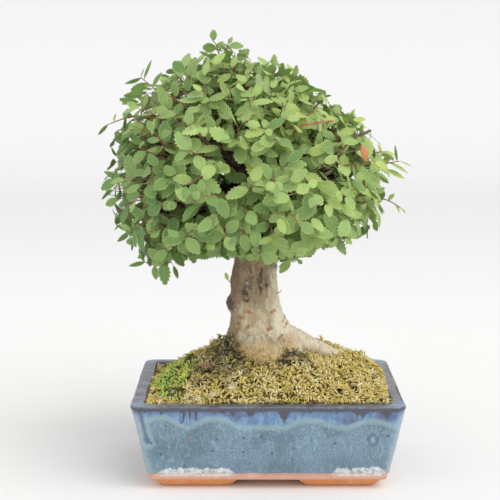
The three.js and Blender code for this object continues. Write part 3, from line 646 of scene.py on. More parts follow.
def bent_strands(foot, up, turn, apart, length, width, lean, curl):
    """Tapered tubes, one for each foot. Each starts a little apart from it, leans off the way up to the side
    that its turn gives and bends on by its curl, so that its path is an arc. Rings of three sides follow it,
    and both ends are closed. Nothing goes through the pot's wall, but above the rim it may hang over."""
    count, steps, sides = len(foot), len(STRAND_WIDTHS) - 1, 3
    helper = np.where(np.abs(up[:, 2:3]) < 0.9, [[0, 0, 1.0]], [[1.0, 0, 0]])
    side = np.cross(up, helper)
    side /= np.linalg.norm(side, axis=1)[:, None]
    aside = side * np.cos(turn)[:, None] + np.cross(up, side) * np.sin(turn)[:, None]
    across = np.cross(up, aside)
    t = np.linspace(0, 1, steps + 1)
    bow = lean[:, None] + curl[:, None] * t
    reach = (length / steps)[:, None]
    forward = np.concatenate([np.zeros((count, 1)), np.cumsum(np.sin(bow[:, :-1]) * reach, axis=1)], axis=1)
    upward = np.concatenate([np.zeros((count, 1)), np.cumsum(np.cos(bow[:, :-1]) * reach, axis=1)], axis=1)
    forward = forward + apart[:, None]
    centre = foot[:, None] + forward[..., None] * aside[:, None] + upward[..., None] * up[:, None]
    normal = np.cos(bow)[..., None] * aside[:, None] - np.sin(bow)[..., None] * up[:, None]
    angle = np.arange(sides) * 2 * np.pi / sides
    ring = normal[:, :, None] * np.cos(angle)[:, None] + across[:, None, None] * np.sin(angle)[:, None]
    points = centre[:, :, None] + ring * (width[:, None] / 2 * STRAND_WIDTHS)[..., None, None]
    overhang = RIM_OVERHANG * np.clip((points[..., 2] - RIM_TOP) / 1.5, 0, 1)
    for axis in (0, 1):
        limit = WALL_INSIDE[axis] + overhang
        points[..., axis] = np.clip(points[..., axis], -limit, limit)
    one = sheet_faces(steps + 1, sides, closed=True)
    ends = np.array([[0, 2, 1], [steps * sides, steps * sides + 1, steps * sides + 2]])
    shift = np.arange(count)[:, None, None] * (steps + 1) * sides
    faces = (one + shift).reshape(-1, 4).tolist() + (ends + shift).reshape(-1, 3).tolist()
    share = np.broadcast_to(t[:, None], (count, steps + 1, sides)).reshape(-1)
    return points.reshape(-1, 3), faces, share


def set_mark(piece, name, values):
    """Stores a number for each point of the mesh."""
    values = np.asarray(values, np.float32)
    piece.data.attributes.new(name, "FLOAT", "POINT").data.foreach_set("value", values)


def capped_rings(rings):
    """Points and faces of closed rings stacked from one end to the other, with a lid at each end."""
    rows, around = rings.shape[:2]
    faces = sheet_faces(rows, around, closed=True).tolist()
    faces.append(list(range(around))[::-1])
    faces.append([(rows - 1) * around + k for k in range(around)])
    return rings.reshape(-1, 3), faces


def moss_bed(rings=46, around=150):
    """The mat's own body: rings of the pot's squared outline from the wall to the middle, a little below the
    moss's height, over one lower ring."""
    turn = np.arange(around) * 2 * np.pi / around
    square = (np.abs(np.cos(turn)) ** 20 + np.abs(np.sin(turn)) ** 20) ** (-1 / 20)
    shares = np.linspace(1, 0.004, rings)[:, None]
    x = FILL_HALF[0] * np.cos(turn) * square * shares
    y = FILL_HALF[1] * np.sin(turn) * square * shares
    top = np.stack([x, y, moss_top(x, y) - BED_SINK], axis=-1)
    return capped_rings(np.concatenate([(top[0] * (1, 1, 0) + (0, 0, BED_FLOOR))[None], top]))


def patch_bed(around=60):
    """The green patch's body: smaller and smaller ellipses, a little below its moss, over one lower ring."""
    turn = np.arange(around) * 2 * np.pi / around
    shares = np.array([1.0, 0.8, 0.6, 0.4, 0.2, 0.01])[:, None]
    x = GREEN_PATCH[0] + 0.9 * GREEN_PATCH[2] * np.cos(turn) * shares
    y = GREEN_PATCH[1] + 0.9 * GREEN_PATCH[3] * np.sin(turn) * shares
    top = np.stack([x, y, moss_top(x, y) - PATCH_SINK], axis=-1)
    return capped_rings(np.concatenate([(top[0] * (1, 1, 0) + (0, 0, PATCH_FLOOR))[None], top]))


def moss_middles(draw, gap, low, high, wanted):
    """Middles of tufts on the mound: a grid between two corners with each place moved at random, kept where
    the test wants them. Also gives the way up at each, between the surface's own and straight up."""
    x, y = np.meshgrid(np.arange(low[0], high[0], gap), np.arange(low[1], high[1], gap))
    x, y = (side.ravel() + draw.uniform(-0.45, 0.45, side.size) * gap for side in (x, y))
    keep = wanted(x, y)
    x, y = x[keep], y[keep]
    near = 1.5
    slope_x = (moss_top(x + near, y) - moss_top(x - near, y)) / (2 * near)
    slope_y = (moss_top(x, y + near) - moss_top(x, y - near)) / (2 * near)
    up = np.stack([-0.7 * slope_x, -0.7 * slope_y, np.ones_like(x)], axis=1)
    return np.stack([x, y, moss_top(x, y) - FOOT_SINK], axis=1), up / np.linalg.norm(up, axis=1)[:, None]


def moss_tufts(draw, middles, up, each, length, width, curl):
    """Strands in tufts: round each middle they stand a little apart, lean outwards and curl down as a small
    dome, with a dark cleft between one tuft and the next. Also gives the number of each strand's tuft."""
    tuft = np.repeat(np.arange(len(middles)), each)
    count = len(tuft)
    size = draw.uniform(0.75, 1.2, len(middles))[tuft]
    lean = draw.uniform(0.0, 1.1, count)
    strands = bent_strands(
        middles[tuft], up[tuft], draw.uniform(0, 2 * np.pi, count), 1.2 * lean,
        draw.uniform(*length, count) * size, draw.uniform(*width, count), lean, draw.uniform(*curl, count))
    return strands, tuft


def hollow_shade_share(places):
    """How much painted shade the moss gets: high in the hollows at the trunk's foot, falling off all round
    each.
    """
    share = np.zeros(len(places))
    for x, y, half_x, half_y, most in HOLLOW_SHADES:
        near = np.exp(-((places[:, 0] - x) / half_x) ** 4 - ((places[:, 1] - y) / half_y) ** 4)
        share = np.maximum(share, most * near)
    return share


def strand_piece(name, draw, bed, tufts, shade_and_dryness):
    """One piece from a bed and the tufts on it, with marks for the way along, the tone, and shade and
    dryness: painted shade, except on the green patch's strands, where it stands for their dryness. A strand's
    tone is half its tuft's and half its own. In the bed only the shade and dryness differs from 0."""
    (strand_points, strand_faces, share), tuft = tufts
    each = len(strand_points) // len(tuft)
    start = len(bed[0])
    piece = new_piece(name, *gathered([bed, (strand_points, strand_faces)]))
    tone = 0.5 * draw.uniform(0, 1, len(shade_and_dryness))[tuft] + 0.5 * draw.uniform(0, 1, len(tuft))
    strand_shade_and_dryness = np.clip(shade_and_dryness[tuft] + draw.normal(0, 0.22, len(tuft)), 0, 1)
    set_mark(piece, "along", np.concatenate([np.zeros(start), share]))
    set_mark(piece, "tone", np.concatenate([np.zeros(start), np.repeat(tone, each)]))
    set_mark(piece, "shade_and_dryness", np.concatenate([hollow_shade_share(bed[0]), np.repeat(strand_shade_and_dryness, each)]))
    return piece


def mat_wanted(x, y):
    """Outside the green patch and clear of the trunk's foot."""
    return ~in_patch(x, y) & (((x + 4) / 18) ** 2 + (y / 16) ** 2 > 1)


def cushion_wanted(x, y):
    """Right of a waved line, along the front and on the steep clump at the trunk's left foot."""
    on_clump = ((x + 28) / 13) ** 2 + ((y + 18) / 12) ** 2 < 1
    return (x > 18 + 8 * np.sin(y / 7)) | on_clump | ((y < -34 + 4 * np.sin(x / 6)) & ~in_patch(x, y))


draw = np.random.default_rng(31)
middles, up = moss_middles(draw, gap=4.3, low=(-80, -57.5), high=(81, 58), wanted=mat_wanted)
tufts = moss_tufts(draw, middles, up, each=10, length=(3.8, 5.6), width=(0.8, 1.35), curl=(0.4, 2.8))
moss_mat = strand_piece("moss_mat_strands", draw, moss_bed(), tufts, hollow_shade_share(middles))
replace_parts(moss_mat, "moss_mat")

middles, up = moss_middles(draw, gap=4.5, low=(-80, -57), high=(81, 50), wanted=cushion_wanted)
middles[:, 2] += 0.4 + 0.8 * (middles[:, 0] > 14)
tufts = moss_tufts(draw, middles, up, each=10, length=(3.8, 5.6), width=(0.85, 1.4), curl=(0.8, 3.8))
NO_BED = (np.empty((0, 3)), [])
moss_cushion = strand_piece("moss_cushion_strands", draw, NO_BED, tufts, hollow_shade_share(middles))

STRAW, STRAW_PALE, OLIVE_YELLOW = srgb(245, 212, 106), srgb(255, 243, 180), srgb(230, 204, 80)
OLIVE, MOSS_BROWN, MOSS_DARK = srgb(176, 158, 64), srgb(112, 86, 42), srgb(64, 62, 32)
HOLLOW_SHADE_BROWN = srgb(44, 38, 24)
mat = Finish("olive_moss", 0.85)
at = mat.place()
along, tone, shade_and_dryness = mat.mark("along"), mat.mark("tone"), mat.mark("shade_and_dryness")
patchy = noise(at, 14, 3)
dry = mix(step(tone, 0.3, 0.8), STRAW, STRAW_PALE)
dry = mix(step(patchy, 0.48, 0.62) * 0.7, dry, OLIVE_YELLOW)
dry = mix(step(tone, 0.34, 0.2) * 0.6, dry, OLIVE)
# Each strand is dark at its foot and straw yellow towards its tip, and the bed under the strands is dark:
# partly the moss's own darker old growth and partly painted shade in the gaps between tufts.
deep = mix(step(patchy, 0.4, 0.6), MOSS_BROWN, MOSS_DARK)
specks = noise(at, 0.9, 3, 0.7)
mat_colour = mix(step(along.most(step(specks, 0.5, 0.64) * 0.4), 0.05, 0.6), deep, dry)
# Painted shade: in the hollows at the trunk's foot the strands and the bed are darkened to a dark brown,
# broken by lighter specks.
mat_colour = mix(shade_and_dryness * (0.93 - 0.4 * step(specks, 0.52, 0.66)), mat_colour, HOLLOW_SHADE_BROWN)
mat.feed("Base Color", mat_colour)
mat.feed("Roughness", 0.75 + 0.2 * tone)
mat.relief(specks, 0.8)
for piece in (moss_mat, moss_cushion):
    mat.dress(piece)
    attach(piece, "root")

draw = np.random.default_rng(32)
middles, up = moss_middles(draw, gap=3.9, low=(-79, -56), high=(-48, 28), wanted=in_patch)
tufts = moss_tufts(draw, middles, up, each=9, length=(3.2, 5.6), width=(1.0, 1.9), curl=(-0.3, 2.2))
patch_dryness = 0.22 + 0.55 * ripple(middles * (1, 1, 0), 12, 33)
moss_green = strand_piece("moss_green_strands", draw, patch_bed(), tufts, patch_dryness)
LIME_TIP, GRASS_TIP, FRESH_DARK = srgb(204, 230, 96), srgb(128, 176, 60), srgb(50, 56, 28)
fresh = Finish("green_moss", 0.8)
at = fresh.place()
along, tone, shade_and_dryness = fresh.mark("along"), fresh.mark("tone"), fresh.mark("shade_and_dryness")
fresh_tip = mix(tone, LIME_TIP, GRASS_TIP)
dry_tip = mix(tone, STRAW, OLIVE)
# On the green patch's strands the same mark stands for dryness: where it is high the tips turn straw and
# olive.
fresh_tip = mix(step(shade_and_dryness, 0.45, 0.6), fresh_tip, dry_tip)
# The green strands are dark at their feet: partly older growth and partly painted shade between the tufts.
fresh_colour = mix(step(along, 0.05, 0.7), FRESH_DARK, fresh_tip)
fresh.feed("Base Color", fresh_colour)
fresh.feed("Roughness", 0.7 + 0.2 * tone)
fresh.relief(noise(at, 1.0, 3), 0.4)
fresh.dress(moss_green)
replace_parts(moss_green, "moss_green")
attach(moss_green, "root")

# Pebbles: three pale stones and a brown one, rounded and lumpy, with faint veins. They lie half sunk in the
# moss and nothing else holds them.
PEBBLES = [
    {"node": "pebble_1", "place": (-23.8, -51.0), "half": (4.0, 2.8, 2.6), "slot": "stone_white"},
    {"node": "pebble_2", "place": (-46.5, -54.0), "half": (3.0, 2.4, 2.0), "slot": "stone_white"},
    {"node": "pebble_3", "place": (-36.8, -53.5), "half": (2.6, 2.2, 2.0), "slot": "stone_white"},
    {"node": "pebble_4", "place": (-41.8, -27.0), "half": (3.6, 3.0, 2.6), "slot": "stone_brown"},
]


def pebble_body(place, half, seed, rows=22, columns=30):
    """A ball in rings from pole to pole, stretched to the stone's half sizes, with low lumps."""
    polar, turn = np.meshgrid(np.linspace(0.02, np.pi - 0.02, rows), np.arange(columns) * 2 * np.pi / columns,
                              indexing="ij")
    ball = np.stack([np.sin(polar) * np.cos(turn), np.sin(polar) * np.sin(turn), -np.cos(polar)], axis=-1)
    ball = ball.reshape(-1, 3)
    ball = ball * (1 + 0.12 * ripple(ball, 1.3, seed) + 0.03 * ripple(ball, 0.4, seed + 1))[:, None]
    turned = math.cos(place[0]), math.sin(place[0])
    ball = ball * half
    x = ball[:, 0] * turned[0] - ball[:, 1] * turned[1] + place[0]
    y = ball[:, 0] * turned[1] + ball[:, 1] * turned[0] + place[1]
    z = ball[:, 2] + mound_height(*np.array(place)) + 0.3 * half[2] + 0.2
    return capped_rings(np.stack([x, y, z], axis=1).reshape(rows, columns, 3))


STONE_PALE, STONE_GREY = srgb(206, 192, 154), srgb(150, 134, 98)
STONE_TAN, STONE_BROWN = srgb(150, 116, 84), srgb(92, 66, 48)
stone_finishes = {}
for name, pale, dark in (("stone_white", STONE_PALE, STONE_GREY), ("stone_brown", STONE_TAN, STONE_BROWN)):
    stone = Finish(name, 0.75)
    at = stone.place()
    veins = noise(at, 1.6, 4)
    stone.feed("Base Color", mix(step(veins, 0.38, 0.62), dark, pale))
    stone.feed("Roughness", 0.6 + 0.3 * veins)
    stone.relief(veins, 0.3)
    stone_finishes[name] = stone
for number, pebble in enumerate(PEBBLES):
    points, faces = pebble_body(pebble["place"], pebble["half"], 40 + number)
    piece = new_piece(pebble["node"] + "_stone", points, faces)
    stone_finishes[pebble["slot"]].dress(piece)
    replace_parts(piece, pebble["node"])
    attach(piece, "root")

# Tree: one body of living wood, rooted in the soil. A pale trunk with rust-coloured pores, dark knots near
# its head and a burl at its left flares into surface roots, of which the one at the right is bare and cream
# white.
TRUNK_SECTIONS = np.array([
    (46, -5, 11), (60, -5, 20), (74, -4.6, 27), (84, -4.5, 27), (94.5, -5.3, 23.3), (104, -6.3, 19.6),
    (118, -9.1, 17.4), (132, -9, 15.8), (145, -7.8, 14.6), (156, -8, 13.4), (166, -8.5, 10),
])
ROOTS = [
    ([(2, 2, 95), (14, 3, 92), (25, 3, 87), (38, 5, 80.6), (51, 7, 73.6), (62, 9, 66)], 9, 4),
    ([(-14, 4, 86), (-30, 8, 82), (-42, 10, 75), (-52, 11, 66)], 7, 3),
    ([(-8, 8, 86), (-16, 26, 82), (-22, 40, 73), (-26, 50, 63)], 8, 3),
    ([(0, 8, 86), (12, 24, 82), (22, 36, 74), (32, 46, 64)], 8, 3),
]
LIMBS, LOWEST_LIMB, LIMB_REACH = 6, -0.35, 27
LIMB_START, LIMB_HUB = np.array([-8.5, 0, 150]), np.array([-11.0, 0, 192])
LIMB_STEPS, ROOT_STEPS = 16, 26
WOOD_VOXEL = 0.8
KNOTS = [
    {"place": (-13.9, 131.9), "half": (2.5, 2.8), "pale": 1.0},
    {"place": (-15.0, 125.4), "half": (2.4, 2.2), "pale": 0.0},
    {"place": (-14.2, 120.4), "half": (1.8, 1.2), "pale": 0.0},
    {"place": (-4.2, 138.6), "half": (1.1, 5.5), "pale": 0.0},
    {"place": (-4.9, 128.4), "half": (1.3, 3.4), "pale": 0.0},
    {"place": (-1.0, 131.0), "half": (1.3, 1.5), "pale": 0.0},
    {"place": (4.2, 144.4), "half": (2.2, 3.2), "pale": 0.7},
    {"place": (-25.5, 116.4), "half": (2.8, 4.0), "pale": 0.0},
]
BURL = 7
PORES = [
    (-11.9, 112.8, 2.7, 0.0), (-17.7, 108.7, 2.4, 0.0), (-19.4, 104.6, 1.2, 0.0), (-13.3, 102.5, 1.0, 0.6),
    (3.5, 112.4, 1.5, 0.3), (1.1, 101.2, 1.9, 0.1), (11.6, 107.2, 1.6, 1.8), (13.2, 102.8, 1.5, 1.6),
    (-13.3, 97.1, 1.2, 0.2), (9.2, 95.4, 1.8, 0.4), (-21.5, 100.4, 1.1, 0.0), (10.6, 93.0, 1.2, -0.6),
]


def smooth_rows(rows, keys):
    """Cubic curves through a table's rows, by its first column, with slopes from the rows next to each."""
    slopes = np.gradient(rows[:, 1:], rows[:, 0], axis=0)
    place = np.clip(np.searchsorted(rows[:, 0], keys) - 1, 0, len(rows) - 2)
    span = rows[place + 1, 0] - rows[place, 0]
    t = ((keys - rows[place, 0]) / span)[:, None]
    span = span[:, None]
    return ((2 * t ** 3 - 3 * t ** 2 + 1) * rows[place, 1:] + (t ** 3 - 2 * t ** 2 + t) * span * slopes[place]
            + (3 * t ** 2 - 2 * t ** 3) * rows[place + 1, 1:] + (t ** 3 - t ** 2) * span * slopes[place + 1])


def soft_step(value, low, high):
    """A soft step of plain numbers from 0 below low to 1 above high."""
    share = np.clip((value - low) / (high - low), 0, 1)
    return share * share * (3 - 2 * share)


def stem(levels=90, sides=80):
    """The trunk: rings round its leaning centre whose radius follows the sections, lobed towards the roots,
    with the burl as a bump at its left."""
    z = np.linspace(TRUNK_SECTIONS[0, 0], TRUNK_SECTIONS[-1, 0], levels)
    centre, half = smooth_rows(TRUNK_SECTIONS.astype(float), z).T
    turn = np.arange(sides) * 2 * np.pi / sides
    height, angle = np.meshgrid(z, turn, indexing="ij")
    flare = soft_step(112 - height, 0, 30)
    lobes = 1 + 0.09 * flare * np.cos(5 * angle + 0.5) + 0.02 * np.cos(3 * angle + height / 9)
    burl = 2.0 * np.exp(-((angle - np.pi) / 0.5) ** 2 - ((height - 116) / 5.5) ** 4)
    radius = half[:, None] * lobes + burl
    x = centre[:, None] + radius * np.cos(angle)
    return capped_rings(np.stack([x, 0.95 * radius * np.sin(angle), height], axis=-1))


def curved(path, count):
    """Points evenly along a smooth curve through a path's points."""
    path = np.asarray(path, float)
    run = np.concatenate([[0], np.cumsum(np.linalg.norm(np.diff(path, axis=0), axis=1))])
    return smooth_rows(np.column_stack([run, path]), np.linspace(0, run[-1], count))


def limb(path, radii, sides):
    """A tube: rings at right angles to a path, with a radius for each, closed flat at both ends."""
    path = np.asarray(path, float)
    ahead = np.gradient(path, axis=0)
    ahead /= np.linalg.norm(ahead, axis=1)[:, None]
    helper = np.array([0.0, 0.0, 1.0]) if abs(ahead[0, 2]) < 0.9 else np.array([1.0, 0.0, 0.0])
    side = np.cross(ahead, helper)
    side /= np.linalg.norm(side, axis=1)[:, None]
    other = np.cross(ahead, side)
    turn = np.arange(sides) * 2 * np.pi / sides
    ring = side[:, None] * np.cos(turn)[None, :, None] + other[:, None] * np.sin(turn)[None, :, None]
    return capped_rings(path[:, None] + ring * np.asarray(radii, float)[:, None, None])


def tapered(path, radii, sides):
    """A tube along a path whose radius goes evenly from the first of two to the second."""
    return limb(path, np.linspace(*radii, len(path)), sides)


def spread(count, lowest):
    """Directions a golden angle apart, from straight up down to a lowest height, starting to the left."""
    i = np.arange(count)
    z = 1 - (1 - lowest) * (i + 0.5) / count
    level = np.sqrt(1 - z * z)
    golden = np.pi * (3 - np.sqrt(5))
    return np.stack([-level * np.cos(i * golden), -level * np.sin(i * golden), z], axis=1)


limb_ends = LIMB_HUB + spread(LIMBS, LOWEST_LIMB) * LIMB_REACH
wood = [stem()]
for path, thick, thin in ROOTS:
    wood.append(tapered(curved(path, ROOT_STEPS), (thick, thin), 18))
for end in limb_ends:
    bow = np.array([(end[0] + LIMB_START[0]) / 2, end[1] / 2, (2 * LIMB_START[2] + end[2]) / 3])
    bow += (np.array([LIMB_START[0], 0, bow[2]]) - bow) * 0.55
    t = np.linspace(0, 1, LIMB_STEPS)[:, None]
    run = (1 - t) ** 2 * LIMB_START + 2 * t * (1 - t) * bow + t ** 2 * end
    wood.append(limb(run, 6 - 2.8 * t[:, 0] + 1.8 * t[:, 0] ** 6, 14))
rough = new_piece("wood_rough", *gathered(wood))

# The trunk, roots and limbs are merged into one skin, which is then pushed in and out along its normals.
remesh = rough.modifiers.new("merge", "REMESH")
remesh.mode = "VOXEL"
remesh.voxel_size = WOOD_VOXEL * MM
merged = rough.evaluated_get(bpy.context.evaluated_depsgraph_get()).to_mesh()
count = len(merged.vertices)
points = np.empty(count * 3)
merged.vertices.foreach_get("co", points)
normals = np.empty(count * 3)
merged.vertices.foreach_get("normal", normals)
points = (points.reshape(-1, 3) - POT_MIDDLE) / MM
normals = normals.reshape(-1, 3)
wood_faces = [tuple(polygon.vertices) for polygon in merged.polygons]
rough.to_mesh_clear()
bpy.data.objects.remove(rough)

front = soft_step(-normals[:, 1], 0.0, 0.35)
knot_mark = np.zeros(count)
pale_mark = np.zeros(count)
pore_mark = np.zeros(count)
push = 0.45 * ripple(points, 16, 51) + 0.2 * ripple(points, 5, 52)
push += 0.16 * ripple(points * (1, 1, 3), 4, 53) + 0.12 * ripple(points * (1, 1, 0.4), 2.6, 54)
crooked = 0.25 * ripple(points, 3.4, 55) + 0.15 * ripple(points, 1.7, 56)
for number, knot in enumerate(KNOTS):
    (knot_x, knot_z), (half_x, half_z) = knot["place"], knot["half"]
    away = np.hypot((points[:, 0] - knot_x) / half_x, (points[:, 2] - knot_z) / half_z) + crooked
    side = soft_step(-normals[:, 0], 0.1, 0.5) if number == BURL else front
    ring = np.exp(-((away - 1) / 0.4) ** 2) * side
    eye = np.exp(-(away / 0.5) ** 2) * side
    push += 0.4 * ring - 0.5 * eye * (1 - 1.4 * knot["pale"])
    dark = np.exp(-(np.maximum(away, 0) / 1.15) ** 4) * side
    knot_mark = np.maximum(knot_mark, dark * (1 - 0.9 * eye * knot["pale"]))
    pale_mark = np.maximum(pale_mark, eye * knot["pale"])
for x, z, half, slant in PORES:
    down = points[:, 2] - z - slant * (points[:, 0] - x)
    away = ((points[:, 0] - x) / (1.2 * half)) ** 2 + (down / 1.25) ** 2
    spot = np.exp(-np.maximum(away + 1.5 * crooked, 0)) * front
    push += 0.35 * spot
    pore_mark = np.maximum(pore_mark, spot)
grow_in = soft_step(points[:, 2], 60, 75) * (1 - 0.7 * soft_step(points[:, 2], 160, 175))
points += normals * (push * grow_in)[:, None]
trunk = new_piece("trunk_wood", points, wood_faces)
root_line = np.array(ROOTS[0][0], float)
nearest = np.full(count, 1e9)
for spot in curved(root_line, 30)[8:]:
    nearest = np.minimum(nearest, np.linalg.norm(points - spot, axis=1))
set_mark(trunk, "knot", knot_mark)
set_mark(trunk, "pale", pale_mark)
set_mark(trunk, "pore", pore_mark)
set_mark(trunk, "bare_root", soft_step(-nearest, -14, -9) * soft_step(points[:, 0], 14, 24))
BARK_TAN, BARK_OLIVE, BARK_PALE = srgb(184, 164, 128), srgb(158, 146, 114), srgb(210, 202, 176)
BARK_BROWN, BARK_LIT_CREAM, BARK_DARK_AND_SHADE = srgb(132, 106, 74), srgb(230, 220, 192), srgb(120, 98, 72)
BARK_ORANGE, BARK_HEAD = srgb(212, 168, 96), srgb(118, 86, 62)
KNOT_DARK_AND_CROWN_SHADE, KNOT_PALE = srgb(66, 50, 40), srgb(192, 176, 156)
ROOT_CREAM, ROOT_TAN = srgb(212, 199, 174), srgb(168, 140, 100)
RUST, RUST_DARK = srgb(178, 104, 44), srgb(100, 72, 48)
bark = Finish("bark", 0.8)
at = bark.place()
x, y, height = parts(at)
knot, pale, pore, bare_root = bark.mark("knot"), bark.mark("pale"), bark.mark("pore"), bark.mark("bare_root")
broad = noise(at, 13, 3)
flaked = noise(stretched(at, (1, 1, 0.45)), 4.0, 5, 0.7)
grain = noise(stretched(at, (1, 1, 2.6)), 2.4, 4, 0.7)
grit = noise(at, 1.2, 3, 0.75)
skin = mix(step(broad, 0.4, 0.6), BARK_TAN, BARK_OLIVE)
skin = mix(step(flaked, 0.5, 0.62) * 0.75, skin, BARK_PALE)
skin = mix(step(flaked, 0.46, 0.36) * 0.6, skin, BARK_BROWN)
# Painted light: the trunk's right side, which faces the key light, is painted cream above its base.
skin = mix(step(x + 4 * flaked, 3, 10) * step(height, 92, 100) * 0.8, skin, BARK_LIT_CREAM)
# Painted shade: the trunk's left side is darkened.
skin = mix(step(x + 5 * flaked, -12, -20) * 0.75, skin, BARK_DARK_AND_SHADE)
streaked = noise(stretched(at, (1, 1, 0.16)), 2.2, 3, 0.6)
low = step(height + 14 * broad, 104, 92)
skin = mix(low * step(streaked + 0.4 * grit, 0.54, 0.8) * 0.8, skin, BARK_ORANGE)
skin = mix(low * step(grit + 0.5 * flaked, 0.74, 0.56) * 0.8, skin, BARK_BROWN)
skin = mix(low * step(noise(at, 5, 4, 0.7), 0.5, 0.66) * 0.7, skin, BARK_DARK_AND_SHADE)
head = step(height + 16 * broad, 120, 136) * step(x + 8 * flaked, 8, 2)
blotched = 0.3 + 0.7 * step(flaked + 0.5 * grit, 0.66, 0.82)
skin = mix(head * blotched * 0.9, skin, BARK_HEAD)
skin = mix(head * step(streaked, 0.54, 0.66) * 0.7, skin, KNOT_DARK_AND_CROWN_SHADE)
# Painted shade: the limbs inside the crown, above the trunk's head, are painted dark all over.
skin = mix(step(height, 168, 182), skin, KNOT_DARK_AND_CROWN_SHADE)
root_skin = mix(step(flaked + 0.4 * grit, 0.64, 0.86) * 0.75, ROOT_CREAM, ROOT_TAN)
skin = mix(bare_root, skin, root_skin)
lenticels = spots(stretched(at, (1, 1, 3.2)), 8.0)
lenticels = step(lenticels + 0.12 * grit, 0.24, 0.12) * step(height, 150, 128) * (1 - bare_root)
rust = mix(step(grit, 0.42, 0.6), RUST, RUST_DARK)
pore_share = step(pore + 0.9 * (grit - 0.5), 0.2, 0.6)
skin = mix((lenticels * 0.4).most(pore_share * 0.85), skin, rust)
knot_share = step(knot + 1.2 * (grit - 0.5) + 0.6 * (flaked - 0.5), 0.15, 0.85)
skin = mix(knot_share * 0.95, skin, KNOT_DARK_AND_CROWN_SHADE)
skin = mix(pale * step(grit, 0.25, 0.5), skin, KNOT_PALE)
skin = mix(step(grain + 0.3 * grit, 0.62, 0.84) * (0.42 - 0.34 * bare_root), skin, BARK_DARK_AND_SHADE)
bark.feed("Base Color", skin)
bark.feed("Roughness", 0.7 + 0.25 * grain)
bark.relief(0.5 * grain + 0.6 * flaked + 0.3 * grit + 0.4 * lenticels, 0.7, 0.8)
bark.dress(trunk)
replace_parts(trunk, "trunk")
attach(trunk, "root")

# Twigs and leaves: small, oval, saw-toothed blades, folded along a pale midrib, in two rows on thin red-brown
# twigs that end at the crown's face. Each hangs on a short red stalk. The leaves of one spray are one piece.
CROWN_CENTRE = np.array([-11.0, 0.0, 200.0])
CROWN_DEPTH = 0.95
CROWN_REACH = np.array([
    (-90, 62, 62), (-60, 67, 66), (-45, 88, 74), (-35, 95, 85), (-22, 102, 97), (-8, 106, 101), (5, 105, 104),
    (20, 106, 94), (35, 106, 87), (50, 104, 83), (65, 102, 83), (78, 104, 87), (90, 95, 95),
])
SPRAYS, LOWEST_SPRAY, CORE_SHARE = 34, -0.8, 0.76
LOWEST_SHOOT = -0.88
SHOOTS = [
    {"count": 600, "tips": (0.84, 1.0), "butts": (0.48, 0.62), "width": 0.62},
    {"count": 190, "tips": (0.55, 0.78), "butts": (0.3, 0.4), "width": 0.8},
]
FIRST_LEAF, LEAF_TRIES, MOST_LEAVES = 0.3, 9, 8000
RUN_STEPS, TWIG_THIN = 7, 0.28
LEAF_STEP = 4.3
LEAF_LENGTH = (9.5, 16.0)
LEAF_WIDTH = (0.5, 0.7)
LEAF_CLEAR = 3.1
TEETH = 6
LEAF_THICK = 0.24
STALK = 1.7
UP = np.array([0.0, 0.0, 1.0])
FRONT_REACH = np.array([
    (-90, 55), (-70, 62), (-50, 63), (-38, 72), (-20, 94), (0, 93), (10, 101), (25, 91), (40, 80),
    (60, 81), (75, 86), (90, 89), (100, 97), (120, 99), (130, 94), (145, 103), (165, 98), (190, 105),
    (203, 96), (220, 93), (228, 72), (240, 59), (252, 55), (270, 56),
], float)
CLEARINGS = [
    {"ends": ((-49, 229), (-33, 224)), "radius": 3.6},
    {"ends": ((-33, 224), (-13, 207)), "radius": 4.2},
    {"ends": ((6, 190), (22, 200)), "radius": 2.4},
    {"ends": ((-60, 190), (-52, 182)), "radius": 2.6},
]
EDGE_TWIGS = [
    [(-22, 0, 262), (-30.8, 0, 281.6), (-34.2, 0, 290.9), (-35.3, 0, 294.5), (-37.5, 0, 296.5)],
    [(-30.8, 0, 281.6), (-28, 0, 288), (-26.5, 0, 294)],
    [(-58, 0, 244), (-69.6, 0, 258.1), (-77, 0, 264.1), (-85.9, 0, 271.1)],
    [(-72, 0, 242), (-82, 0, 245), (-93.4, 0, 244.6), (-108.6, 0, 239.5)],
    [(-60, 0, 238), (-74.6, 0, 237), (-82.7, 0, 235.8), (-106, 0, 227.6)],
    [(-62, 0, 212), (-80.3, 0, 209.8), (-89.9, 0, 207), (-103, 0, 201.5)],
    [(-52, 0, 172), (-68, 0, 166), (-82, 0, 164), (-95, 0, 166)],
    [(-50, -6, 166), (-64, -8, 152), (-76, -8, 143), (-84, -8, 146)],
    [(-10, -8, 172), (-3.8, -16, 165.1), (1.6, -20, 162.2), (9.7, -22, 157.4), (20.8, -22, 149.2)],
    [(2, -8, 180), (19.3, -14, 174.4), (26, -16, 169.8), (32.1, -16, 163.7), (44.8, -16, 159.1)],
    [(60, 0, 206), (72, 0, 210), (84, 0, 213.5), (90, 0, 214.4)],
    [(60, 0, 190), (74, 0, 190), (84, 0, 187), (92, 0, 182)],
]
TRUNK_TWIGS = [
    [(-23.8, -14, 129.6), (-25.5, -15, 133.3), (-26.9, -15, 134.6)],
    [(6.7, -6, 124), (8.4, -6, 124.5), (9.8, -6, 126.4)],
]
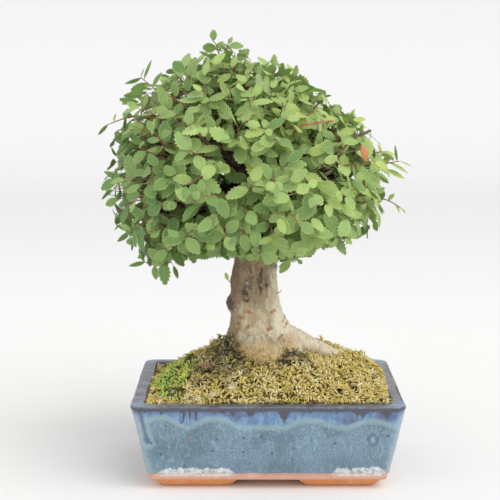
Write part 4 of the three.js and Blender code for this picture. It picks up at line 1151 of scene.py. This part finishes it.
EDGE_LEAVES = [
    (0.2, 163.2, 0.2, 147.1, -26, 0.74, 1.0, 0.85), (-12, 164.1, -4.5, 153.6, -25, 0.6, 0.95, 0.6),
    (-15.1, 161, -17.1, 148.2, -23, 0.52, 0.9, 0.1), (-14.6, 164, -25.3, 162.3, -28, 0.52, 0.9, 0.8),
    (-20, 161, -23.4, 152.7, -21, 0.75, 0.8, 0.2), (-26, 161, -30.1, 151, -20, 0.5, 0.9, 0.0),
    (-31, 168, -37.9, 156.9, -30, 0.66, 0.95, 0.7), (-17.2, 175, -10.1, 166, -32, 0.6, 0.95, 0.6),
    (0.1, 175.5, -0.6, 164, -30, 0.7, 0.9, 0.5), (4, 168, 12.4, 159.2, -18, 0.75, 0.8, 0.0),
    (22.5, 169.4, 11.7, 157.9, -22, 0.46, 0.9, 0.4), (24.7, 168, 28.8, 159.5, -17, 0.65, 0.8, 0.05),
    (28.4, 161.6, 28.6, 150.3, -18, 0.7, 0.95, 0.1), (38.6, 174, 39.3, 163.5, -20, 0.75, 0.95, 0.6),
    (31.5, 164, 42, 161.3, -14, 0.4, 0.7, 0.0), (44.5, 164, 54.2, 152.7, -16, 0.5, 0.8, 0.35),
    (40.3, 160.8, 40.2, 156.4, -16, 0.5, 1.0, 0.95), (10.9, 156, 10.5, 148.5, -21, 0.5, 0.9, 0.8),
    (20.2, 149.6, 23.4, 147, -22, 0.75, 1.0, 0.5), (14.9, 150.4, 8.7, 140, -22, 0.52, 0.95, 0.4),
    (-36.2, 296, -36.9, 303.2, 0, 0.66, 0.9, 0.3), (-34.2, 290.9, -30.4, 295.6, 0, 0.7, 0.9, 0.2),
    (-26.2, 292, -16.4, 293, 0, 0.6, 0.6, 0.3), (-26.5, 293.6, -24, 298.4, 0, 0.6, 0.9, 0.5),
    (-34.8, 291.5, -44, 291, 0, 0.6, 0.7, 0.5), (-32, 284, -23, 288, -4, 0.55, 0.8, 0.6),
    (-31, 283, -41, 286, -3, 0.55, 0.8, 0.4), (-83.7, 270.2, -78, 282.5, 0, 0.2, 0.5, 0.3),
    (-85.7, 271.5, -83.4, 277.5, 0, 0.2, 0.5, 0.4), (-77.7, 264.8, -72.6, 275, 0, 0.28, 0.6, 0.2),
    (-85.7, 270.9, -96, 265.8, 0, 0.18, 0.5, 0.3), (-80.5, 266.8, -92.8, 262.6, 0, 0.4, 0.8, 0.3),
    (-84, 260.5, -97.6, 258.6, 0, 0.38, 0.8, 0.5), (-88, 254.6, -100.8, 255.8, 0, 0.4, 0.8, 0.2),
    (-108.6, 239.5, -115.6, 232.6, 0, 0.2, 0.5, 0.3), (-104.5, 241.4, -103.4, 247, 0, 0.3, 0.6, 0.8),
    (-98, 243.4, -95, 250.4, 0, 0.4, 0.7, 0.4), (-104.6, 228.4, -107.4, 224, 0, 0.4, 0.6, 0.2),
    (-96, 231.2, -93, 241.6, 0, 0.4, 0.7, 0.3), (-101, 202.4, -111.5, 207.6, 0, 0.36, 0.7, 0.2),
    (-103, 201.5, -112.4, 196, 0, 0.4, 0.9, 0.3), (-94, 166, -104.5, 170.6, 0, 0.3, 0.6, 0.2),
    (-95, 166, -102.6, 158, 0, 0.3, 0.6, 0.3), (-84, 146, -94.8, 142.8, -8, 0.3, 0.7, 0.1),
    (-84.2, 146, -88, 155, -8, 0.34, 0.7, 0.2), (-77.4, 143.4, -76.4, 133.6, -8, 0.5, 1.0, 0.3),
    (-71, 147, -70.2, 130, -10, 0.5, 1.0, 0.15), (-64, 152, -56.8, 143.4, -10, 0.6, 0.9, 0.3),
    (-52, 160, -49.4, 145.6, -12, 0.55, 0.9, 0.2), (-64.6, 143, -61.6, 134, -6, 0.3, 0.7, 0.1),
    (83, 213.5, 96.9, 207.1, 0, 0.19, 0.6, 0.8), (81, 208.8, 93.8, 202.7, 0, 0.26, 0.7, 0.9),
    (90, 214.6, 98.8, 211.5, 0, 0.12, 0.5, 0.7), (88.7, 214.4, 86.6, 225.3, 0, 0.16, 0.5, 0.6),
    (79, 212.6, 84.5, 219.5, 0, 0.5, 0.8, 0.95), (54, 240, 59, 250, 0, 0.24, 0.6, 0.8),
    (83, 187.6, 87, 192, 0, 0.4, 0.7, 0.7), (88, 185, 91.5, 179.5, 0, 0.36, 0.6, 0.6),
    (92, 182, 95, 178.6, 0, 0.4, 0.6, 0.8),
]
SPROUT_LEAF = (-26.8, 134.6, -28.9, 139.6, -15, 0.5, 0.9, 1.0)


def crown_reach(ways):
    """How far the crown reaches from its centre: by elevation, between its left and right outlines by the
    compass direction, a little less to front and back."""
    level = np.maximum(np.hypot(ways[:, 0], ways[:, 1]), 1e-6)
    elevation = np.degrees(np.arctan2(ways[:, 2], level))
    left = np.interp(elevation, CROWN_REACH[:, 0], CROWN_REACH[:, 1])
    right = np.interp(elevation, CROWN_REACH[:, 0], CROWN_REACH[:, 2])
    share = 0.5 - 0.5 * ways[:, 0] / level
    depth = (ways[:, 1] / level) ** 2
    return (right + (left - right) * share) * (1 + (CROWN_DEPTH - 1) * depth)


def crown_points(ways, share):
    """Points at a share of the crown's reach in these directions."""
    return CROWN_CENTRE + ways * (crown_reach(ways) * share)[:, None]


def unit(vectors):
    """Vectors made 1 long."""
    return vectors / np.linalg.norm(vectors, axis=-1, keepdims=True)


def seen_from_front(points):
    """Where points show on the upright plane through the trunk, seen from the camera's place."""
    eye = np.array(CAMERA_PLACE)
    return eye + (points - eye) * (-eye[1] / (points[..., 1:2] - eye[1]))


def front_share(points):
    """How far out points show, as a share of the crown's outline in their direction."""
    seen = seen_from_front(points) - CROWN_CENTRE
    turn = np.degrees(np.arctan2(seen[..., 2], seen[..., 0]))
    outline = np.interp(np.where(turn < -90, turn + 360, turn), FRONT_REACH[:, 0], FRONT_REACH[:, 1])
    return np.hypot(seen[..., 0], seen[..., 2]) / outline


def whole_share(points):
    """How far out points lie in space, as a share of the crown's reach in their direction."""
    away = points - CROWN_CENTRE
    distance = np.linalg.norm(away, axis=-1)
    return distance / crown_reach(away / distance[..., None])


def in_clearing(point):
    """Whether a point in front of the boughs shows within one of the gaps through which they are seen."""
    seen = seen_from_front(point)[[0, 2]]
    for gap in CLEARINGS:
        start, end = np.array(gap["ends"], float)
        along = np.clip(np.dot(seen - start, end - start) / np.dot(end - start, end - start), 0, 1)
        if np.linalg.norm(seen - start - (end - start) * along) < gap["radius"]:
            return point[1] < -30
    return False


def blade_rows():
    """Half widths and places of a blade's rows, at each notch and tooth of its edge: a sine of the way along
    to a power below one, a little wider at a tooth than at a notch, with the teeth leaning forwards."""
    share = np.arange(1, 2 * TEETH + 1) / (2 * TEETH + 1)
    tooth = np.arange(1, 2 * TEETH + 1) % 2 == 0
    half = 0.5 * np.sin(np.pi * share ** 0.9) ** 0.7 * np.where(tooth, 1.15, 0.86)
    edge = share + np.where(tooth, 0.04, -0.012)
    return share, edge, half


def blade_faces(rows):
    """Faces of a blade whose points are its base, its tip and then four a row: left edge, right edge, midrib
    above and midrib below. Those of the upper side come first."""
    upper = [(0, 4, 2), (0, 3, 4), (4 * rows, 1, 4 * rows - 2), (4 * rows, 4 * rows - 1, 1)]
    lower = [(0, 2, 5), (0, 5, 3), (4 * rows + 1, 4 * rows - 2, 1), (4 * rows + 1, 1, 4 * rows - 1)]
    for row in range(rows - 1):
        left, right, rib, keel = (2 + 4 * row + k for k in range(4))
        upper += [(rib, rib + 4, left + 4, left), (rib, right, right + 4, rib + 4)]
        lower += [(keel, left, left + 4, keel + 4), (keel, keel + 4, right + 4, right)]
    return upper, lower


ROW_SHARE, ROW_EDGE, ROW_HALF = blade_rows()
UPPER, LOWER = blade_faces(len(ROW_SHARE))
BLADE_ACROSS = np.concatenate([[0, 0], np.tile([-1.0, 1.0, 0.0, 0.0], len(ROW_SHARE))])
BLADE_FORWARD = np.concatenate([[0, 1], np.stack([ROW_EDGE, ROW_EDGE, ROW_SHARE, ROW_SHARE], axis=1).ravel()])
BLADE_SIDE = -BLADE_ACROSS * np.concatenate([[0, 0], np.repeat(ROW_HALF, 4)])
BLADE_THICK = np.concatenate([[0, 0], np.tile([0, 0, LEAF_THICK / 2, -LEAF_THICK / 2], len(ROW_SHARE))])
ON_EDGE = (BLADE_ACROSS != 0) | (np.arange(len(BLADE_ACROSS)) < 2)


def blades(base, along, facing, length, width, fold, droop, twist):
    """Points of many leaves at once. Each is its rows laid out from its base along its own direction, raised
    at both edges by the fold, sunk by the droop times the square of the way along, and twisted by the sine of
    its twist times the way along."""
    along = unit(along)
    across = unit(np.cross(facing, along))
    normal = np.cross(along, across)
    forward = BLADE_FORWARD * length[:, None]
    sideways = BLADE_SIDE * (length * width)[:, None]
    lift = np.abs(sideways) * fold[:, None] - (droop * length)[:, None] * BLADE_FORWARD ** 2
    lift = lift + sideways * np.sin(twist)[:, None] * BLADE_FORWARD + BLADE_THICK
    return (base[:, None] + forward[..., None] * along[:, None] + sideways[..., None] * across[:, None]
            + lift[..., None] * normal[:, None])


def crisp_edges(piece):
    """Keeps the light on a blade's upper side apart from that on its lower side, along its toothed edge."""
    ends = np.empty(2 * len(piece.data.edges), np.int32)
    piece.data.edges.foreach_get("vertices", ends)
    sharp = ON_EDGE[ends.reshape(-1, 2) % len(ON_EDGE)].all(axis=1)
    piece.data.attributes.new("sharp_edge", "BOOLEAN", "EDGE").data.foreach_set("value", sharp)


spray_ways = spread(SPRAYS, LOWEST_SPRAY)
spray_sites = crown_points(spray_ways, CORE_SHARE)
draw = np.random.default_rng(7)
leaf_sets = [[] for spray in range(SPRAYS)]
twig_bodies = []
twig_spots = []
middles = np.full((MOST_LEAVES, 3), 1e6)


def curve_point(butt, bow, tip, share):
    """A point of a twig, which is a quadratic curve, and its direction there."""
    spot = (1 - share) ** 2 * butt + 2 * share * (1 - share) * bow + share ** 2 * tip
    return spot, unit(2 * (1 - share) * (bow - butt) + 2 * share * (tip - bow))


def curve_run(butt, bow, tip, end, count):
    """Points of such a curve from its butt to a share of its way."""
    return np.array([curve_point(butt, bow, tip, share)[0] for share in np.linspace(0, end, count)])


def painted_light_and_youth(way):
    """Lightness and youth of a leaf. The lightness is painted light: it grows to the top and right, where the
    crown gets the most light, with a random spread. The youth grows the same way, partly young growth and
    partly painted light.
    """
    tone = np.clip(0.49 + 0.32 * way[0] + 0.2 * way[2] + draw.normal(0, 0.28), 0, 1)
    young = np.clip(-0.5 + 0.3 * way[0] + 0.4 * way[2] + draw.normal(0, 0.45), 0, 1)
    return tone, young


def grow_shoot(spray, butt, tip, way, width):
    """A twig from butt to tip, bowed outwards, with leaves to its left and right by turns. A leaf that would
    crowd another, hide a gap or reach out of the crown gets another direction, and is left out if none fits.
    The twig ends at its last leaf."""
    bow = 0.5 * (butt + tip) + way * draw.uniform(2, 6) + draw.normal(0, 2.0, 3)
    run = curve_run(butt, bow, tip, 1, RUN_STEPS)
    length = np.linalg.norm(np.diff(run, axis=0), axis=1).sum()
    shares = np.linspace(FIRST_LEAF, 1.0, max(4, int((1 - FIRST_LEAF) * length / LEAF_STEP)))
    last = 0
    for k, share in enumerate(shares):
        spot, ahead = curve_point(butt, bow, tip, share)
        if front_share(spot[None])[0] > draw.uniform(0.8, 1.5):
            continue
        for attempt in range(LEAF_TRIES):
            facing = unit(0.75 * way + 0.35 * UP + draw.normal(0, 0.3 + 0.45 * max(way[2], 0) ** 2, 3))
            flank = np.cross(facing, ahead)
            if np.linalg.norm(flank) < 0.3:
                flank = np.cross(facing, draw.normal(0, 1, 3))
            flank = unit(flank) * (1 if k % 2 else -1)
            opening = draw.uniform(0.55, 1.25) if share < 0.97 else draw.uniform(0, 0.4)
            along = ahead * math.cos(opening) + flank * math.sin(opening) + draw.normal(0, 0.15, 3)
            along = unit(along - facing * np.dot(along, facing) * 0.85)
            size = draw.uniform(*LEAF_LENGTH) * (0.8 if share > 0.92 else 1.0) * (1 - 0.04 * attempt)
            base = spot + along * STALK
            middle = base + along * size * 0.5
            ends = np.array([middle, base + along * size])
            if front_share(ends).max() > draw.uniform(0.96, 1.03) or whole_share(ends).max() > 1.04:
                continue
            if in_clearing(middle) or np.min(np.linalg.norm(middles - middle, axis=1)) < LEAF_CLEAR:
                continue
            middles[sum(len(leaves) for leaves in leaf_sets)] = middle
            leaf_sets[spray].append((base, along, facing, size, draw.uniform(*LEAF_WIDTH), *painted_light_and_youth(way)))
            twig_bodies.append(limb([spot, base + along * 0.6], [0.26, 0.2], 3))
            last = share
            break
    if last:
        run = curve_run(butt, bow, tip, last, RUN_STEPS)
        twig_bodies.append(tapered(run, (width, TWIG_THIN), 4))
        twig_spots.append(run)


for shoots in SHOOTS:
    ways = unit(spread(shoots["count"], LOWEST_SHOOT) + draw.normal(0, 0.05, (shoots["count"], 3)))
    tips = crown_points(ways, draw.uniform(*shoots["tips"], shoots["count"]))
    tips = CROWN_CENTRE + (tips - CROWN_CENTRE) / np.maximum(1, front_share(tips) / 0.93)[:, None]
    owners = np.argmin(np.linalg.norm(tips[:, None] - spray_sites[None], axis=2), axis=1)
    for way, tip, owner in zip(ways, tips, owners):
        out = draw.uniform(*shoots["butts"])
        heading = unit(0.55 * spray_ways[owner] + 0.45 * unit(tip - CROWN_CENTRE))
        grow_shoot(int(owner), crown_points(heading[None], out)[0], tip, way, shoots["width"])

for paths, radii in ((EDGE_TWIGS, (0.8, 0.35)), (TRUNK_TWIGS, (0.4, 0.2))):
    for path in paths:
        run = curved(path, 10)
        twig_bodies.append(tapered(run, radii, 5))
        twig_spots.append(run)
every_spot = np.concatenate(twig_spots)
TOWARDS = unit(np.array([0.0, -1.0, 0.16]))


def seen_leaf(x0, z0, x1, z1, depth, width, shown, tone):
    """A leaf from one place to another on an upright plane at this depth, with its stalk from the nearest
    twig. Width is a share of its length as seen, and shown is 1 for a leaf that faces the camera."""
    base, tip = np.array([x0, depth, z0]), np.array([x1, depth, z1])
    along = unit(tip - base)
    facing = TOWARDS * shown + unit(np.cross(TOWARDS, along)) * math.sqrt(1 - shown * shown)
    spot = every_spot[np.argmin(np.linalg.norm(every_spot - base, axis=1))]
    bend = 0.5 * (spot + base) - along * 0.5
    twig_bodies.append(limb([spot, bend, base + along * 0.6], [0.26, 0.24, 0.2], 3))
    size = np.linalg.norm(tip - base)
    return base, along, facing, size, width / max(shown, 0.5), tone, max(0, 1.6 * tone - 0.9)


for row in EDGE_LEAVES:
    item = seen_leaf(*row)
    owner = int(np.argmin(np.linalg.norm(spray_sites - item[0], axis=1)))
    leaf_sets[owner].append(item)

LEAF_DARK, LEAF_LIGHT, LEAF_YOUNG = srgb(98, 144, 66), srgb(192, 223, 120), srgb(216, 230, 106)
LEAF_COOL, LEAF_MARGIN, LEAF_UNDER = srgb(112, 154, 96), srgb(222, 234, 150), srgb(172, 192, 144)
LEAF_GLOW, GLOW_SHARE = srgb(140, 180, 76), 0.36
leaf =Finish("leaf", 0.5)
across, ahead, _ = parts(leaf.add("ShaderNodeUVMap", {"uv_map": "blade"}, {}))
under = step(across, 1.5, 1.6)
half = (across - 3 * under).abs()
tone, young = leaf.mark("tone"), leaf.mark("young")
at = leaf.place()
blotch = noise(at, 5, 3)
# The tone mark holds each leaf's own random lightness and painted light, lighter to the top and right; the
# young mark adds yellow-green partly for young growth and partly as painted light.
green = mix(tone, LEAF_DARK, LEAF_LIGHT)
green = mix(young, green, LEAF_YOUNG)
green = mix(step(blotch, 0.42, 0.7) * 0.35, green, LEAF_COOL)
rib = step(half, 0.07, 0.02) * 0.22
vein_phase = (ahead - 0.42 * half) * 8
vein = step(vein_phase.math("PINGPONG", vein_phase, 0.5), 0.14, 0.0) * step(half, 0.98, 0.8)
margin = step(half, 0.78, 0.96) * 0.6
pale_share = rib.most(vein * 0.18).most(margin)
green = mix(pale_share, green, LEAF_MARGIN)
green = mix(under * 0.4, green, LEAF_UNDER)
leaf.feed("Base Color", green)
leaf.feed("Roughness", 0.44 + 0.2 * blotch + 0.15 * under)
leaf.relief(1 - rib.most(vein * 0.8), 0.25, 0.5)
glow = leaf.add("ShaderNodeBsdfTranslucent", {}, {"Color": LEAF_GLOW})
face = Value(leaf, leaf.shader.outputs[0])
both = leaf.add("ShaderNodeMixShader", {}, [GLOW_SHARE, face, glow])
leaf.tree.links.new(both.socket, leaf.tree.nodes["Material Output"].inputs["Surface"])

stride = len(BLADE_FORWARD)
blade_list = UPPER + LOWER
blade_corners = np.repeat([0] * len(UPPER) + [1] * len(LOWER), [len(face) for face in blade_list])


def leaf_piece(name, leaves):
    """One piece from its leaves, each with its own fold, droop and twist. The UV map holds the place across
    and along a leaf, with 3 added across on the underside."""
    count = len(leaves)
    base, along, facing = (np.array([item[k] for item in leaves]) for k in range(3))
    size, width, tones, youth = (np.array([item[k] for item in leaves]) for k in range(3, 7))
    points = blades(
        base, along, facing, size, width, draw.uniform(0.0, 0.2, count), draw.uniform(-0.04, 0.16, count),
        draw.normal(0, 0.2, count))
    faces = [tuple(corner + k * stride for corner in face) for k in range(count) for face in blade_list]
    piece = new_piece(name, points.reshape(-1, 3), faces)
    set_mark(piece, "tone", np.repeat(tones, stride))
    set_mark(piece, "young", np.repeat(youth, stride))
    layer = piece.data.uv_layers.new(name="blade")
    corner_point = np.empty(len(piece.data.loops), np.int32)
    piece.data.loops.foreach_get("vertex_index", corner_point)
    local = corner_point % stride
    place = np.stack([BLADE_ACROSS[local] + 3 * np.tile(blade_corners, count), BLADE_FORWARD[local]], axis=1)
    layer.data.foreach_set("uv", place.ravel())
    crisp_edges(piece)
    leaf.dress(piece)
    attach(piece, "root")
    return piece


for spray, leaves in enumerate(leaf_sets):
    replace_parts(leaf_piece(f"spray_{spray + 1:02d}_leaves", leaves), f"spray_{spray + 1:02d}")
leaf_piece("sprout_leaf", [seen_leaf(*SPROUT_LEAF)])

# Curled leaf: one dead leaf, dry, curled and orange. It still hangs by its stalk from a twig at the right of
# the crown.
CURL_BASE, CURL_TIP = np.array([59.6, -62, 230.2]), np.array([62.1, -62, 218.8])
CURL_WIDTH, CURL_FOLD, CURL_DROOP, CURL_TWIST = 0.36, 1.2, 0.2, 0.9
DEAD_ORANGE, DEAD_PALE = srgb(214, 110, 62), srgb(232, 160, 110)
curl_way = CURL_TIP - CURL_BASE
curl_twig = every_spot[np.argmin(np.linalg.norm(every_spot - CURL_BASE, axis=1))]
curl_bend = 0.5 * (curl_twig + CURL_BASE) + 0.8 * UP
twig_bodies.append(limb([curl_twig, curl_bend, CURL_BASE + 0.1 * curl_way], [0.3, 0.28, 0.25], 4))
curl_shape = np.array([np.linalg.norm(curl_way), CURL_WIDTH, CURL_FOLD, CURL_DROOP, CURL_TWIST])
curl = blades(CURL_BASE[None], curl_way[None], TOWARDS[None], *curl_shape[:, None])
curled = new_piece("curled_leaf", curl[0], blade_list)
dead = Finish("dead_leaf", 0.6)
streak = noise(dead.place(), 2.5, 3)
dead.feed("Base Color", mix(streak, DEAD_ORANGE, DEAD_PALE))
dead.feed("Roughness", 0.5 + 0.3 * streak)
dead.relief(streak, 0.2)
dead.dress(curled)
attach(curled, "root")

# Boughs and twigs: the crown's wood as one piece. Boughs, painted near black as painted shade, grow from the
# trunk's limbs to the sprays. With them come two cut stubs, the red-brown twigs and every leaf's stalk.
BOUGHS = [
    {"path": [(-11, -6, 188), (-13, -34, 205), (-32, -50, 226), (-47, -54, 232), (-62, -52, 236)],
     "radii": (3.4, 1.3)},
    {"path": [(-11, -6, 186), (6, -38, 196), (24, -58, 203), (40, -66, 214)], "radii": (2.8, 1.0)},
    {"path": [(-12, -4, 180), (-38, -30, 184), (-60, -44, 190), (-78, -48, 202)], "radii": (2.6, 1.0)},
    {"path": [(-9, 6, 186), (14, 40, 200), (30, 60, 216), (38, 66, 232)], "radii": (2.8, 1.0)},
    {"path": [(-13, 6, 184), (-36, 36, 192), (-58, 52, 206), (-70, 52, 222)], "radii": (2.8, 1.0)},
    {"path": [(46, -34, 224), (57.8, -42, 234.2), (66.9, -42, 238.1)], "radii": (0.8, 0.8)},
]
CUT_STUBS = [
    [(14, -58, 236), (22.6, -69, 243), (32, -71, 244.6), (40.8, -70, 245.5)],
    [(34, -52, 212), (41.7, -58, 221.3), (53.8, -58, 233.5)],
]
for way in spray_ways:
    butt = crown_points(way[None], 0.6)[0]
    knob = limb_ends[np.argmin(np.linalg.norm(limb_ends - butt, axis=1))]
    start = knob + (LIMB_HUB - knob) * 0.12
    bow = 0.5 * (start + butt) + draw.normal(0, 4, 3)
    twig_bodies.append(tapered(curve_run(start, bow, butt, 1, 9), (2.0, 0.9), 8))
for path in CUT_STUBS:
    twig_bodies.append(tapered(curved(path, 8), (0.95, 0.65), 8))
slim = len(twig_bodies)
for bough in BOUGHS:
    run = curved(bough["path"], 22)
    twig_bodies.append(limb(run, np.linspace(*bough["radii"], 22) + 0.15 * np.sin(np.arange(22) * 1.7), 10))
twigs = new_piece("twigs", *gathered(twig_bodies))
body_points = [len(points) for points, faces in twig_bodies]
set_mark(twigs, "slim", np.repeat(np.arange(len(twig_bodies)) < slim, body_points))
BOUGH_SHADE, BOUGH_TAN = srgb(62, 50, 44), srgb(112, 88, 70)
TWIG_RED, TWIG_PINK, TWIG_SHADE = srgb(112, 72, 56), srgb(166, 112, 84), srgb(80, 62, 52)
twig = Finish("twig_bark", 0.7)
at = twig.place()
fleck = noise(at, 3, 3)
from_centre = twig.add("ShaderNodeVectorMath", {"operation": "DISTANCE"}, [at, tuple(CROWN_CENTRE)], "Value")
# Painted shade: the boughs' bark is near black, with tan flecks.
bough_bark = mix(step(fleck, 0.4, 0.65), BOUGH_SHADE, BOUGH_TAN)
slim_bark = mix(step(fleck, 0.4, 0.65), TWIG_RED, TWIG_PINK)
slim_bark = mix(step(from_centre, 86, 60), slim_bark, TWIG_SHADE)
twig_colour = mix(twig.mark("slim"), bough_bark, slim_bark)
twig.feed("Base Color", twig_colour)
twig.feed("Roughness", 0.6 + 0.2 * fleck)
twig.relief(fleck, 0.2)
twig.dress(twigs)
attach(twigs, "root")
